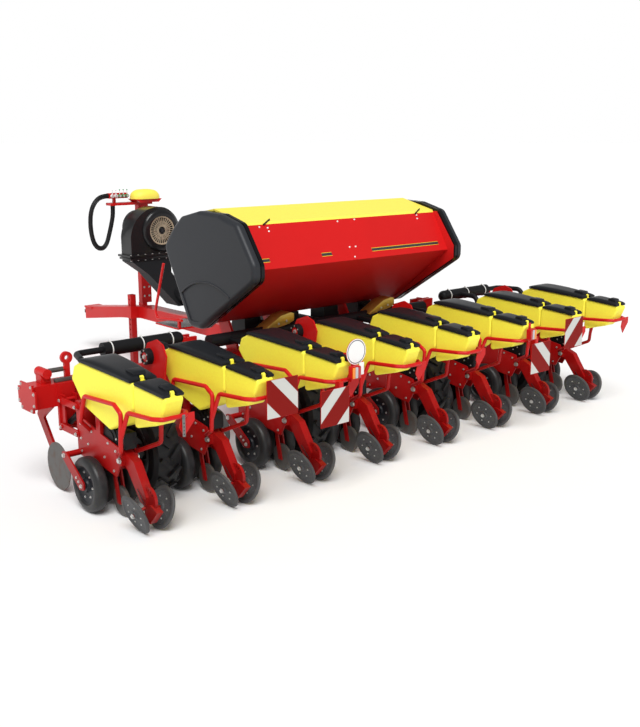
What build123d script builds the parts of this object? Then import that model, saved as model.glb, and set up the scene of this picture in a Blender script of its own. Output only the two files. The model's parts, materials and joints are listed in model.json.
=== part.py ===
"""Trailed pneumatic precision seeder with eight row units and a fertiliser hopper.

Millimetres. +Y is the direction of travel, +X the right-hand side, +Z up, z = 0 the ground.
Every function works in a frame whose y = 0 is the main beam's centre; main() moves the finished
pieces by BEAM_Y, so that the origin is on the ground under the middle of the machine.
"""
import math
import os

from build123d import *

# Layout across the machine
ROW_PITCH = 750.0
HINGE_X = 1500.0
HINGE_Z = 1000.0
WING_END_X = 2900.0
LEFT_ROWS, CENTRE_ROWS, RIGHT_ROWS = (0, 1), (2, 3, 4, 5), (6, 7)
ROW_COUNT = 8
CARRY_X = (-2250.0, -750.0, 750.0, 2250.0)

# Clearances
SEAT = 0.3
PIN_GAP = 0.3
RUN_GAP = 6.0

# Main beam
BEAM_W = 180.0
BEAM_Z = 760.0
BEAM_TOP = BEAM_Z + BEAM_W / 2
BEAM_LOW = BEAM_Z - BEAM_W / 2
BEAM_BACK = -BEAM_W / 2
BEAM_FRONT = BEAM_W / 2
END_PLATE, END_WIDE, END_NARROW, END_NOTCH = 15.0, 150.0, 105.0, 25.0
POST_X, POST_Z, EYE_X, EYE_Z, EYE_R = 2755.0, 930.0, 2557.0, 1020.0, 48.0
HINGE_PIN_R = 22.0
HINGE_EAR_R = 50.0
HINGE_GAP = 8.0

# Row unit stations, y from the beam and z from the ground
HEAD_T = 25.0
HEAD_HALF = 70.0
LINK_FRONT_Y = -150.0
LINK_REAR_Y = -400.0
LINK_HIGH_Z, LINK_LOW_Z = 730.0, 520.0
LINK_H = 52.0
LINK_T = 12.0
LINK_X = 62.0
POST_D = 45.0
POST_HALF = 61.0
SIDE_X0, SIDE_X1 = 55.0, 67.0
RAIL_R = 16.0
RAIL_X, BOW_X, BOW_Y, BOW_Z = 160.0, 131.0, -1645.0, 912.0

GAUGE_Y, GAUGE_R, GAUGE_W, GAUGE_IN = -670.0, 210.0, 110.0, 72.0
GAUGE_AXLE_R = 16.0
GAUGE_ARM_T = 12.0
GAUGE_PIVOT = (-420.0, 385.0)

PRESS_Y, PRESS_R, PRESS_T = -1270.0, 155.0, 26.0
PRESS_CAMBER = 20.0
PRESS_FOOT_X = 52.0
PRESS_AXLE_R = 12.0
PRESS_ARM_HALF, FOOT_HALF = 32.0, 26.0
QUADRANT_CENTRE, QUADRANT_R, QUADRANT_T, QUADRANT_SLOTS = (-1287.0, 238.0), 95.0, 22.0, 6

OPENER_Y, OPENER_R, OPENER_T, OPENER_X, OPENER_TOE = -560.0, 190.0, 5.0, 24.0, 4.0
STOP_Y, STOP_R, STOP_T = -905.0, 112.0, 30.0
FEED_X, FEED_Y, FEED_R, FEED_T = -100.0, -110.0, 190.0, 6.0
DISC_LIFT = 6.0
OPENER_HUB_R = 12.0

# Carrying wheels
CARRY_Y, CARRY_R, CARRY_W = -620.0, 380.0, 250.0
CARRY_LUG_H = 24.0
CARRY_LUGS = 14
CARRY_RIM_R = 200.0
CARRY_AXLE_R = 30.0
CARRY_LEG_X0, CARRY_LEG_X1 = 144.0, 156.0

# Seed tanks of a row unit
TANK_FRONT_HALF, TANK_REAR_HALF = 150.0, 72.0
TANK_WALL, MOUTH_EDGE = 5.0, 22.0
TANK_EDGE_R = 18.0
TANK_FRONT_Y, TANK_TOP_FRONT_Y, TANK_SEAM_Y, TANK_REAR_Y = -508.0, -640.0, -1295.0, -1670.0
TANK_TOP_FRONT_Z, TANK_TOP_SEAM_Z, TANK_TOP_REAR_Z = 1130.0, 1085.0, 1050.0
TANK_SEAM_GAP = 0.6
FLOOR_FRONT, FLOOR_REAR = (-655.0, 806.0), (-984.0, 696.0)
METER_Y, METER_Z, METER_R = -850.0, 590.0, 95.0
LID_T = 30.0
LID_LIP = 8.0
LID_GAP = 0.5
GRIP_H = 24.0
NOTCH_HALF, NOTCH_D = 26.0, 34.0
HOOK_HALF, HOOK_D = 14.0, 18.0

# Hazard boards, lamps and sign behind the rear bows
BOARD_SIDE, BOARD_T, BOARD_Y = 282.0, 4.0, -1700.0
WING_BOARD_X, WING_BOARD_Z = 1760.0, 905.0
CENTRE_BOARD_X, CENTRE_BOARD_Z = 1260.0, 740.0
SIGN_X, SIGN_Z, SIGN_R = -1050.0, 1130.0, 100.0
LAMP_W, LAMP_H, LAMP_D, LAMP_Z = 90.0, 100.0, 36.0, 930.0
STRAP_W, POST_STRIP, POST_STRIP_T, BOW_PLATE_T = 40.0, 30.0, 6.0, 6.0
WING_BOARD_ROWS, CENTRE_BOARD_ROWS = (1, 6), (2, 5)

# Fertiliser hopper
HOPPER_HALF = 1150.0
HOPPER_WALL = 6.0
HOPPER_FLOOR_Z = 1100.0
HOPPER_RIM_Z = 1985.0
CAP_T, CAP_CORNER, CAP_EDGE_R = 115.0, 85.0, 42.0
CAP_GROOVE_X, CAP_GROOVE_W, CAP_GROOVE_D = 34.0, 14.0, 9.0
CAP_SUNK, CAP_PANEL_IN = 9.0, 62.0
CAP_ARC_CENTRE, CAP_ARC_R = (-60.0, 850.0), 640.0
HOPPER_LID_T = 16.0
STANDS_X, STAND_PLATE = (-950.0, -450.0, 450.0, 950.0), 24.0
METERS_X = (-700.0, -250.0, 250.0, 700.0)

# Drawbar, parking stand and fan
DRAWBAR_HALF = 90.0
DRAWBAR_TOP, DRAWBAR_LOW = 760.0, 600.0
DRAWBAR_KNEE_Y, DRAWBAR_FRONT_Y = 3050.0, 4440.0
DRAWBAR_NOSE_TOP, DRAWBAR_NOSE_LOW = 560.0, 405.0
HITCH_R, HITCH_OUT_R, HITCH_T, HITCH_Y, HITCH_Z = 25.0, 55.0, 36.0, 4520.0, 482.0
STAND_X, STAND_Y, STAND_SIDE, STAND_TOP, STAND_WALL = -150.0, 3140.0, 70.0, 880.0, 5.0
STAND_FOOT, STAND_FOOT_T = 180.0, 14.0
STAND_HOLES, STAND_HOLE_PITCH, STAND_HOLE_R = 9, 60.0, 11.0
FAN_X, FAN_Z, FAN_REAR_Y, FAN_FRONT_Y, FAN_WALL = 0.0, 1660.0, 2680.0, 2900.0, 6.0
FAN_EYE_R = 150.0
FAN_ROTOR_R = 205.0
FAN_SHAFT_R = 18.0
DRUM_R, DRUM_FRONT_Y = 205.0, 3190.0
OUTLET_LOW_Z = 1400.0
TOWER_X0, TOWER_X1, TOWER_D, TOWER_FOOT = 30.0, 160.0, 80.0, 750.0
TOWER_Y0 = DRUM_FRONT_Y + 12.0
ARM_Z, ARM_T = 1925.0, 30.0
RACK_X0, RACK_X1, RACK_Z, RACK_H = -350.0, -110.0, 2005.0, 60.0
COUPLERS, COUPLER_R = 5, 14.0
COVER_X, COVER_Z, COVER_W, COVER_D, COVER_H = 95.0, 1992.0, 350.0, 250.0, 110.0
HOSE_Y, HOSE_START_Z, HOSE_BUNDLE_R = DRUM_FRONT_Y + 35.0, RACK_Z + RACK_H / 2, 28.0
DUCT_Z = 945.0
PIPE_R = 56.0
PIPE_Y = -165.0
CENTRE_PIPE_X, WING_PIPE_X0, WING_PIPE_X1 = 1330.0, 1640.0, 2330.0
PIPE_WING_Z, PIPE_CENTRE_Z = 1075.0, 1000.0
HOSE_R = 25.0

# The origin lies under the middle of the machine's length
REAR_REACH = BOARD_Y - LAMP_D
FRONT_REACH = HITCH_Y + HITCH_OUT_R
BEAM_Y = -(REAR_REACH + FRONT_REACH) / 2


def row_x(row):
    return (row - (ROW_COUNT - 1) / 2) * ROW_PITCH


# Shape helpers
def plate(points, x0, x1):
    """A plate with the given (y, z) outline between two x planes."""
    return extrude(Plane.YZ.offset(x0) * make_face(Polyline(*points, close=True)), x1 - x0)


def box(x0, x1, y0, y1, z0, z1):
    centre = Pos((x0 + x1) / 2, (y0 + y1) / 2, (z0 + z1) / 2)
    return centre * Box(abs(x1 - x0), abs(y1 - y0), abs(z1 - z0))


def rod_x(x0, x1, y, z, r):
    return Plane(origin=(x0, y, z), z_dir=(1, 0, 0)) * extrude(Circle(r), x1 - x0)


def rod_y(y0, y1, x, z, r):
    return Plane(origin=(x, y0, z), z_dir=(0, 1, 0)) * extrude(Circle(r), y1 - y0)


def tube(points, r, bend):
    """A round bar along straight runs joined by arcs."""
    path = FilletPolyline(*points, radius=bend)
    return sweep(Plane(origin=path @ 0, z_dir=path % 0) * Circle(r), path=path)


def both_sides(part):
    return part + mirror(part, about=Plane.YZ)


def turned(profile, x, y, z):
    """Revolves an (x, radius) outline about a cross axis through (y, z)."""
    face = make_face(Polyline(*profile, close=True))
    return Pos(x, y, z) * revolve(face, Axis.X)


def at_rows(part, rows):
    return [Pos(row_x(row), 0, 0) * part for row in rows]


# Wheels and discs
def gauge_wheel():
    """One rubber gauge wheel with its inner face at x = 0; the outer face is dished."""
    w, r = GAUGE_W, GAUGE_R
    bore = GAUGE_AXLE_R + PIN_GAP
    profile = [
        (0, bore), (0, r - 45), (8, r - 16), (26, r - 3), (w - 40, r), (w - 14, r - 12), (w, r - 40),
        (w, r - 62), (w - 22, r - 78), (w - 22, 55), (w - 6, 48), (w - 6, bore),
    ]
    return turned(profile, 0, GAUGE_Y, GAUGE_R)


def gauge_pair(row):
    wheel = Pos(GAUGE_IN, 0, 0) * gauge_wheel()
    return at_rows(wheel, [row]) + at_rows(mirror(wheel, about=Plane.YZ), [row])


def press_centre(side):
    """Centre of a press wheel of the row at x = 0, and its outward axle direction."""
    c = math.radians(PRESS_CAMBER)
    x = PRESS_FOOT_X + PRESS_R * math.sin(c)
    z = PRESS_R * math.cos(c) + PRESS_T / 2 * math.sin(c)
    return (side * x, PRESS_Y, z), (side * math.cos(c), 0, -math.sin(c))


def press_wheel(row, side):
    """A closing wheel: steel web, raised hub and rubber rim, leaning out at the top."""
    r, t = PRESS_R, PRESS_T
    bore = PRESS_AXLE_R + PIN_GAP
    profile = [
        (-16, bore), (-16, 34), (-5, 40), (-5, r - 34), (-t / 2, r - 28), (-t / 2, r - 10), (-5, r),
        (5, r), (t / 2, r - 10), (t / 2, r - 28), (5, r - 34), (5, 40), (16, 34), (16, bore),
    ]
    wheel = revolve(make_face(Polyline(*profile, close=True)), Axis.X)
    centre, axle = press_centre(side)
    turn = math.degrees(math.atan2(-axle[2], axle[0]))
    return [Pos(row_x(row), 0, 0) * Pos(*centre) * Rot(0, turn, 0) * wheel]


def carrying_wheel(x):
    """Lugged tyre on a dished rim, as two solids."""
    w, r, lug = CARRY_W / 2, CARRY_R - CARRY_LUG_H, CARRY_LUG_H
    rim_r = CARRY_RIM_R
    tyre = turned(
        [(-w + 25, rim_r), (-w, rim_r + 55), (-w + 6, r - 40), (-w + 30, r - 6), (0, r),
         (w - 30, r - 6), (w - 6, r - 40), (w, rim_r + 55), (w - 25, rim_r)], x, CARRY_Y, CARRY_R)
    for k in range(CARRY_LUGS):
        for side in (-1, 1):
            angle = (k + (0.5 if side > 0 else 0)) * 360 / CARRY_LUGS
            lean = Rot(0, 0, side * 45)
            reach = box(-w + 6, 6, -15, 15, -lug - 6, 0)
            bar = reach if side < 0 else mirror(reach, about=Plane.YZ)
            placed = Rot(angle, 0, 0) * Pos(0, 0, CARRY_R) * lean * bar
            tyre += Pos(x, CARRY_Y, CARRY_R) * placed
    tyre &= rod_x(x - w - 1, x + w + 1, CARRY_Y, CARRY_R, CARRY_R)
    bore = CARRY_AXLE_R + PIN_GAP
    top = rim_r - SEAT
    rim = turned(
        [(-w + 25, top), (-w + 25, top - 25), (-w + 45, top - 30), (-20, top - 45), (-20, 95), (-60, 80),
         (-60, bore), (60, bore), (60, 80), (0, 95), (0, top - 45), (w - 45, top - 30), (w - 25, top - 25),
         (w - 25, top)],
        x, CARRY_Y, CARRY_R)
    return [*tyre.solids(), *rim.solids()]


def coulter_discs(rows):
    """Double-disc openers, the seed stop wheel and the fertiliser disc of each row."""
    disc = extrude(Circle(OPENER_R) - Circle(OPENER_HUB_R + 0.6), OPENER_T / 2, both=True)
    opener = Pos(OPENER_X, OPENER_Y, OPENER_R + DISC_LIFT) * Rot(0, 0, OPENER_TOE) * Rot(0, 90, 0) * disc
    stop = turned(
        [(-STOP_T / 2 - 2.7, 12), (-STOP_T / 2 - 2.7, 26), (-STOP_T / 2, 26), (-STOP_T / 2, STOP_R - 12),
         (-STOP_T / 2 + 6, STOP_R), (STOP_T / 2 - 6, STOP_R), (STOP_T / 2, STOP_R - 12), (STOP_T / 2, 26),
         (STOP_T / 2 + 2.7, 26), (STOP_T / 2 + 2.7, 12)], 0, STOP_Y, STOP_R + DISC_LIFT)
    feed = Rot(0, 90, 0) * extrude(Circle(FEED_R), FEED_T / 2, both=True)
    feed = Pos(FEED_X, FEED_Y, FEED_R + DISC_LIFT) * feed
    unit = [opener, mirror(opener, about=Plane.YZ), stop, feed]
    return [Pos(row_x(row), 0, 0) * piece for row in rows for piece in unit]


# Row unit frame
def linkage():
    """Headstock on the beam, two pairs of parallel links and the upright that they carry."""
    head = box(-HEAD_HALF, HEAD_HALF, BEAM_BACK - HEAD_T, BEAM_BACK, 480, BEAM_TOP)
    ears = box(LINK_X - 20, LINK_X - 6, LINK_FRONT_Y - 30, BEAM_BACK - HEAD_T + 1, 485, 770)
    frame = head + both_sides(ears)
    for z in (LINK_HIGH_Z, LINK_LOW_Z):
        half = LINK_H / 2
        bar = box(LINK_X, LINK_X + LINK_T, LINK_REAR_Y - half, LINK_FRONT_Y + half, z - half, z + half)
        bar = fillet(bar.edges().filter_by(Axis.X), half - 4)
        frame += both_sides(bar)
        for y in (LINK_FRONT_Y, LINK_REAR_Y):
            frame += rod_x(-LINK_X - LINK_T - 10, LINK_X + LINK_T + 10, y, z, 14)
    frame += box(-POST_HALF, POST_HALF, LINK_REAR_Y - POST_D, LINK_REAR_Y + 20, 362, 775)
    return frame


def side_plates():
    """The two frame plates between the upright and the press-wheel arm, with the meter between them."""
    outline = [(-425, 655), (-425, 362), (-560, 350), (-700, 365), (-960, 330), (-1000, 400), (-1045, 480),
               (-1005, 560), (-700, 610), (-520, 655)]
    plates = both_sides(plate(outline, SIDE_X0, SIDE_X1))
    plates += box(-SIDE_X1, SIDE_X1, -1040, -985, 430, 500)
    plates += rod_x(-SIDE_X1, SIDE_X1, -700, 470, 18)
    stop_x = STOP_T / 2 + 3
    stop_arm = plate([(-830, 350), (-870, 345), (-925, 100), (-885, 100)], stop_x, stop_x + 12)
    stop_arm += box(stop_x, SIDE_X1, -870, -835, 345, 365)
    plates += both_sides(stop_arm)
    opener_hub = rod_x(-SIDE_X0, SIDE_X0, OPENER_Y, OPENER_R + DISC_LIFT, OPENER_HUB_R)
    hanger = plate([(-520, 380), (-610, 380), (-585, 180), (-540, 180)], SIDE_X0, SIDE_X1)
    return plates + both_sides(hanger) + opener_hub


def gauge_arms():
    """Cross tube and the two outer arms that carry the gauge-wheel axles."""
    py, pz = GAUGE_PIVOT
    x0 = GAUGE_IN + GAUGE_W + 6
    x1 = x0 + GAUGE_ARM_T
    frame = rod_x(-x1, x1, py, pz, 24)
    outline = [(py + 30, pz + 26), (py + 36, pz - 20), (GAUGE_Y + 30, GAUGE_R - 36),
               (GAUGE_Y - 36, GAUGE_R - 26), (GAUGE_Y - 32, GAUGE_R + 32), (py - 30, pz + 34)]
    arm = plate(outline, x0, x1)
    arm = fillet(arm.edges().filter_by(Axis.X), 12)
    axle = rod_x(GAUGE_IN + 4, x0, GAUGE_Y, GAUGE_R, GAUGE_AXLE_R)
    return frame + both_sides(arm + axle)


def press_arm():
    """Arm behind the row with the slotted pressure quadrant, the rear foot and the two leaning axles."""
    lower = [(-1000, 440), (-1060, 400), (-1215, 205), (-1290, 195)]
    outline = [(-1000, 540), *lower, (-1300, 260), (-1150, 480)]
    arm = plate(outline, -PRESS_ARM_HALF, PRESS_ARM_HALF)
    arm = fillet(arm.edges().filter_by(Axis.X), 10)
    qy, qz = QUADRANT_CENTRE
    quadrant = rod_x(-QUADRANT_T / 2, QUADRANT_T / 2, qy, qz, QUADRANT_R)
    quadrant &= box(-QUADRANT_T, QUADRANT_T, qy - QUADRANT_R, qy + QUADRANT_R, qz - 60, qz + QUADRANT_R)
    for k in range(QUADRANT_SLOTS):
        slot = box(-QUADRANT_T, QUADRANT_T, -4, 4, QUADRANT_R - 34, QUADRANT_R - 12)
        quadrant -= Pos(0, qy, qz) * Rot(-50 + k * 100 / (QUADRANT_SLOTS - 1), 0, 0) * slot
    heel = [(-1250, 190), (-1262, 118), (-1325, 72), (-1425, 180), (-1340, 215)]
    foot = plate(heel, -FOOT_HALF, FOOT_HALF)
    frame = arm + quadrant + foot
    for side in (-1, 1):
        (x, y, z), axle = press_centre(side)
        start = Vector(0, y, z + abs(x) * math.tan(math.radians(PRESS_CAMBER)))
        length = abs(x) / math.cos(math.radians(PRESS_CAMBER)) + 22
        frame += Plane(origin=start, z_dir=Vector(*axle)) * extrude(Circle(PRESS_AXLE_R), length)
    return frame


def rails():
    """Bent tubes that hold the tanks: one hoop on each side in front and a bow round the back."""
    x = RAIL_X
    inside = SIDE_X1 - 4
    hoop = tube([(inside, -600, 590), (x, -640, 690), (x, -720, 897), (x, -1145, 924), (x, -1232, 875),
                 (x, -1207, 600), (inside, -1000, 500)], RAIL_R, 36)
    half = [(x, -1215, 690), (BOW_X, -1276, 888), (BOW_X, BOW_Y + 60, BOW_Z), (BOW_X - 45, BOW_Y, BOW_Z)]
    other = [(-px, py, pz) for px, py, pz in reversed(half)]
    return both_sides(hoop) + tube(half + other, RAIL_R, 34)


def bow_plate():
    """Bracket plate on the right-hand end of the rear bow."""
    right = BOW_X + 28
    outline = [(60, BOW_Z + 10), (right, BOW_Z + 11), (right, BOW_Z - 46), (75, BOW_Z - 145),
               (38, BOW_Z - 80)]
    face = make_face(Polyline(*outline, close=True))
    return extrude(Plane.XZ.offset(-BOW_Y) * face, -BOW_PLATE_T)


def board(x, z, reach):
    """A square hazard board with the strap that hangs it on a rear bow at x = reach."""
    half = BOARD_SIDE / 2
    back = BOARD_Y + BOARD_T
    square = box(x - half, x + half, BOARD_Y, back, z - half, z + half)
    strap_low = max(z - half + STRAP_W, BOW_Z - 190)
    return square + box(reach - STRAP_W / 2, reach + STRAP_W / 2, back, BOW_Y, strap_low, BOW_Z + 8)


def lamp_post(x):
    """Upright on a rear bow with a lamp block."""
    half = POST_STRIP / 2
    front = BOARD_Y + BOARD_T
    foot = box(x - half, x + half, front, BOW_Y, BOW_Z - 10, BOW_Z + 10)
    strip = box(x - half, x + half, front, front + POST_STRIP_T, BOW_Z - 10, SIGN_Z - SIGN_R / 2)
    lamp = box(x - LAMP_W / 2, x + LAMP_W / 2, BOARD_Y - LAMP_D, front, LAMP_Z, LAMP_Z + LAMP_H)
    return foot + strip + fillet(lamp.edges().filter_by(Axis.Y), 12)


def round_sign():
    """Blank speed sign and the arm that joins it to the left lamp post."""
    back = BOARD_Y + BOARD_T
    arm = box(SIGN_X - 50, SIGN_X + 15, back, back + POST_STRIP_T, SIGN_Z - 80, SIGN_Z - SIGN_R / 2)
    return rod_y(BOARD_Y, back, SIGN_X, SIGN_Z, SIGN_R) + arm


def rear_signs(row):
    """Everything that the rear bow of a row carries, in the machine's place, or nothing."""
    x = row_x(row)
    side = -1 if x < 0 else 1
    if row in WING_BOARD_ROWS:
        return board(side * WING_BOARD_X, WING_BOARD_Z, x - side * 70)
    if row not in CENTRE_BOARD_ROWS:
        return None
    signs = board(side * CENTRE_BOARD_X, CENTRE_BOARD_Z, x + side * 70) + lamp_post(x - side * 45)
    return signs + round_sign() if side < 0 else signs


def saddle():
    """Cross pieces under the tanks."""
    y0, y1 = METER_Y + METER_R + 5, -690.0
    cheek = [(y0, 560), (y1, 560), (y1, tank_floor(y1) - SEAT), (y0, tank_floor(y0) - SEAT)]
    return both_sides(plate(cheek, SIDE_X0 - 15, SIDE_X1))


def feed_arm():
    """Bracket under the beam and trailing arm of the fertiliser coulter."""
    x0, x1 = FEED_X + FEED_T / 2 + SEAT, FEED_X + FEED_T / 2 + 22
    outline = [(BEAM_FRONT - 20, BEAM_LOW), (BEAM_BACK + 20, BEAM_LOW), (60, 585), (120, 540),
               (FEED_Y - 28, 215), (FEED_Y + 5, 165), (FEED_Y + 55, 195), (230, 545), (200, 610)]
    arm = plate(outline, x0, x1)
    return fillet(arm.edges().filter_by(Axis.X), 10)


def row_frame():
    return linkage() + side_plates() + gauge_arms() + press_arm() + rails() + bow_plate() + saddle()


def dressed_frame(frame, row):
    """A row's frame in its place, with the boards, lamps or sign on its bow."""
    signs = rear_signs(row)
    placed = Pos(row_x(row), 0, 0) * frame
    return placed + signs if signs else placed


# Seed tanks and lids
def tank_half(y):
    """Half width of the tanks at a station along the row."""
    share = (y - TANK_REAR_Y) / (TANK_FRONT_Y - TANK_REAR_Y)
    return TANK_REAR_HALF + share * (TANK_FRONT_HALF - TANK_REAR_HALF)


def rounded(outline, corner):
    """A (y, z) face with all its corners rounded."""
    face = make_face(Polyline(*outline, close=True))
    return fillet(face.vertices(), corner)


def trapezium(y0, y1, half0, half1):
    """A plan face from y0 to y1 whose half width goes from half0 to half1."""
    return make_face(Polyline((half0, y0), (half1, y1), (-half1, y1), (-half0, y0), close=True))


def wedge(outline, inset):
    """A tall block over the outline's length whose sides close in towards the rear."""
    ys = [y for y, z in outline]
    y0, y1 = min(ys), max(ys)
    return extrude(trapezium(y0 - 1, y1 + 1, tank_half(y0) - inset, tank_half(y1) - inset), 3000)


def tapered(outline, inset, corner):
    """A block with the given rounded (y, z) outline, narrower towards the rear."""
    return extrude(Plane.YZ.offset(-400) * rounded(outline, corner), 800) & wedge(outline, inset)


def side_edges(block):
    """The edges round the two sides of a block that straddles x = 0."""
    return [e for e in block.edges() if abs(e.center().X) > 40]


def tank_floor(y):
    """Height of the main tank's sloping floor."""
    share = (y - FLOOR_REAR[0]) / (FLOOR_FRONT[0] - FLOOR_REAR[0])
    return FLOOR_REAR[1] + share * (FLOOR_FRONT[1] - FLOOR_REAR[1])


def tank_top(y):
    """Height of the tanks' sloping tops; the rear tank slopes on from the seam."""
    if y > TANK_SEAM_Y:
        share = (y - TANK_SEAM_Y) / (TANK_TOP_FRONT_Y - TANK_SEAM_Y)
        return TANK_TOP_SEAM_Z + share * (TANK_TOP_FRONT_Z - TANK_TOP_SEAM_Z)
    share = (y - TANK_SEAM_Y) / (TANK_REAR_Y - TANK_SEAM_Y)
    return TANK_TOP_SEAM_Z + share * (TANK_TOP_REAR_Z - TANK_TOP_SEAM_Z)


def main_outline():
    return [(TANK_TOP_FRONT_Y, TANK_TOP_FRONT_Z), (-548, 1085), (TANK_FRONT_Y, 985), FLOOR_FRONT, FLOOR_REAR,
            (-1120, 762), (TANK_SEAM_Y, 905), (TANK_SEAM_Y, TANK_TOP_SEAM_Z)]


def rear_outline():
    y = TANK_SEAM_Y - TANK_SEAM_GAP
    return [(y, tank_top(y)), (y, 775), (-1535, 842), (-1612, 918), (TANK_REAR_Y, TANK_TOP_REAR_Z)]


def hollow_tank(outline, mouth):
    """A moulded tank open at the top over the mouth, a (rear y, front y) span."""
    solid = tapered(outline, 0, 24)
    solid = fillet(side_edges(solid), TANK_EDGE_R)
    face = offset(rounded(outline, 24), -TANK_WALL)
    solid -= extrude(Plane.YZ.offset(-400) * face, 800) & wedge(outline, TANK_WALL)
    m0, m1 = mouth
    hole = extrude(trapezium(m0, m1, tank_half(m0) - MOUTH_EDGE, tank_half(m1) - MOUTH_EDGE), 200)
    return solid - Pos(0, 0, TANK_TOP_REAR_Z - 60) * hole


def lid(front, rear):
    """A moulded lid with a raised grip and, at its rear end, a notch for the tank's hook."""
    slope = (tank_top(front) - tank_top(rear)) / (front - rear)

    def top(y):
        return tank_top(rear) + (y - rear) * slope + LID_GAP

    outline = [(front, top(front)), (rear, top(rear)), (rear, top(rear) + LID_T - 8),
               (rear + 12, top(rear) + LID_T), (front - 25, top(front) + LID_T),
               (front, top(front) + LID_T - 12)]
    body = tapered(outline, -LID_LIP, 7)
    length = (front - rear) * 0.3
    grip_front, grip_rear = rear + NOTCH_D + length, rear + NOTCH_D + 6
    z0, z1 = top(grip_front) + LID_T, top(grip_rear) + LID_T
    grip = [(grip_front, z0 - 2), (grip_rear, z1 - 2), (grip_rear + 8, z1 + GRIP_H),
            (grip_front - 30, z0 + GRIP_H)]
    grip_half = tank_half(grip_rear) * 0.55
    notch = box(-NOTCH_HALF, NOTCH_HALF, rear - 20, rear + NOTCH_D, top(rear) - 30, top(rear) + 90)
    return body + plate(grip, -grip_half, grip_half) - notch


def main_lid():
    return lid(TANK_TOP_FRONT_Y + 8, TANK_SEAM_Y + 22)


def rear_lid():
    return lid(TANK_SEAM_Y - 26, TANK_REAR_Y + 24)


def hook(y):
    """The moulded catch on a tank's top that stands in the lid's notch."""
    z = tank_top(y)
    outline = [(y, z - 8), (y - HOOK_D, z - 8), (y - HOOK_D, z + 26), (y - 4, z + 34)]
    return plate(outline, -HOOK_HALF, HOOK_HALF)


def seed_tanks(rows):
    main = hollow_tank(main_outline(), (TANK_SEAM_Y + 70, -670)) + hook(TANK_SEAM_Y + 50)
    rear = hollow_tank(rear_outline(), (TANK_REAR_Y + 70, TANK_SEAM_Y - 55)) + hook(TANK_REAR_Y + 50)
    return at_rows(main, rows) + at_rows(rear, rows)


def seed_meter():
    """Disc meter housing under the tank outlet, its motor and the seed tube."""
    body = rod_x(-45, 45, METER_Y, METER_Z, METER_R) + rod_x(-50, 50, METER_Y, METER_Z, 60)
    return body + box(-40, 40, METER_Y - 30, METER_Y + 30, METER_Z, tank_floor(METER_Y - 30) - SEAT)


def air_hose(x, pipe_z, pipe_end):
    """Hose from the air pipe, or from its end, down the front of a tank to the meter."""
    drop = [(x, -400, pipe_z), (x, -468, 960), (x, -640, 715), (x, METER_Y + 30 + SEAT, 715)]
    if abs(x) < pipe_end:
        return tube([(x, PIPE_Y - PIPE_R + 4, pipe_z)] + drop, HOSE_R, 70)
    side = 1 if x > 0 else -1
    bend_x = x - side * 70
    start = [(side * (pipe_end - 5), PIPE_Y, pipe_z), (bend_x, PIPE_Y, pipe_z)]
    return tube(start + drop, HOSE_R, 70)


# Frames
def wheel_legs(x):
    """Side plates and axle of one carrying wheel; the inner plate rises to a round head with a hub."""
    inward = -1 if x > 0 else 1
    lower = [(BEAM_BACK, BEAM_TOP - 10), (BEAM_BACK, BEAM_LOW + 20), (CARRY_Y + 60, 310),
             (CARRY_Y - 60, 310), (CARRY_Y - 75, 430)]
    head = [(-700, 900), (-735, 1080), (-690, 1165), (-600, 1195), (-470, 1150), (-330, 900)]
    shoulder = [(-560, 560), (-250, 830)]
    a = plate(lower + head, CARRY_LEG_X0, CARRY_LEG_X1)
    b = plate(lower + shoulder, -CARRY_LEG_X1, -CARRY_LEG_X0)
    axle = rod_x(-CARRY_LEG_X1, CARRY_LEG_X1, CARRY_Y, CARRY_R, CARRY_AXLE_R)
    hub = rod_x(CARRY_LEG_X0 - 45, CARRY_LEG_X0, -500, 1050, 62)
    legs = fillet(a.edges().filter_by(Axis.X), 25) + fillet(b.edges().filter_by(Axis.X), 25) + axle + hub
    return Pos(x, 0, 0) * (legs if inward > 0 else mirror(legs, about=Plane.YZ))


EAR_T = 26.0
CENTRE_EARS = ((-70.0, -70.0 + EAR_T), (70.0 - EAR_T, 70.0))
WING_EARS = ((-70.0 + EAR_T + 6, -70.0 + EAR_T + 6 + EAR_T), (70.0 - 2 * EAR_T - 6, 70.0 - EAR_T - 6))


def centre_frame():
    end = HINGE_X - HINGE_GAP - HINGE_EAR_R
    frame = box(-end, end, BEAM_BACK, BEAM_FRONT, BEAM_LOW, BEAM_TOP)
    for side in (-1, 1):
        for y0, y1 in CENTRE_EARS:
            ear = plate([(y0, BEAM_LOW), (y1, BEAM_LOW), (y1, HINGE_Z), (y0, HINGE_Z)], end - 40, end)
            arm = box(end - 60, HINGE_X, y0, y1, HINGE_Z - HINGE_EAR_R, HINGE_Z + HINGE_EAR_R - 8)
            knuckle = rod_y(y0, y1, HINGE_X, HINGE_Z, HINGE_EAR_R)
            both = ear + arm + knuckle
            frame += both if side > 0 else mirror(both, about=Plane.YZ)
        pin = rod_y(CENTRE_EARS[0][0], CENTRE_EARS[1][1], side * HINGE_X, HINGE_Z, HINGE_PIN_R)
        frame += pin
    for x in STANDS_X:
        seat = HOPPER_FLOOR_Z - SEAT
        stand = [(BEAM_BACK, BEAM_TOP), (BEAM_FRONT, BEAM_TOP), (220, seat), (60, seat)]
        frame += plate(stand, x - STAND_PLATE / 2, x + STAND_PLATE / 2)
    for x in CARRY_X[1:3]:
        frame += wheel_legs(x)
    return frame


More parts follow.
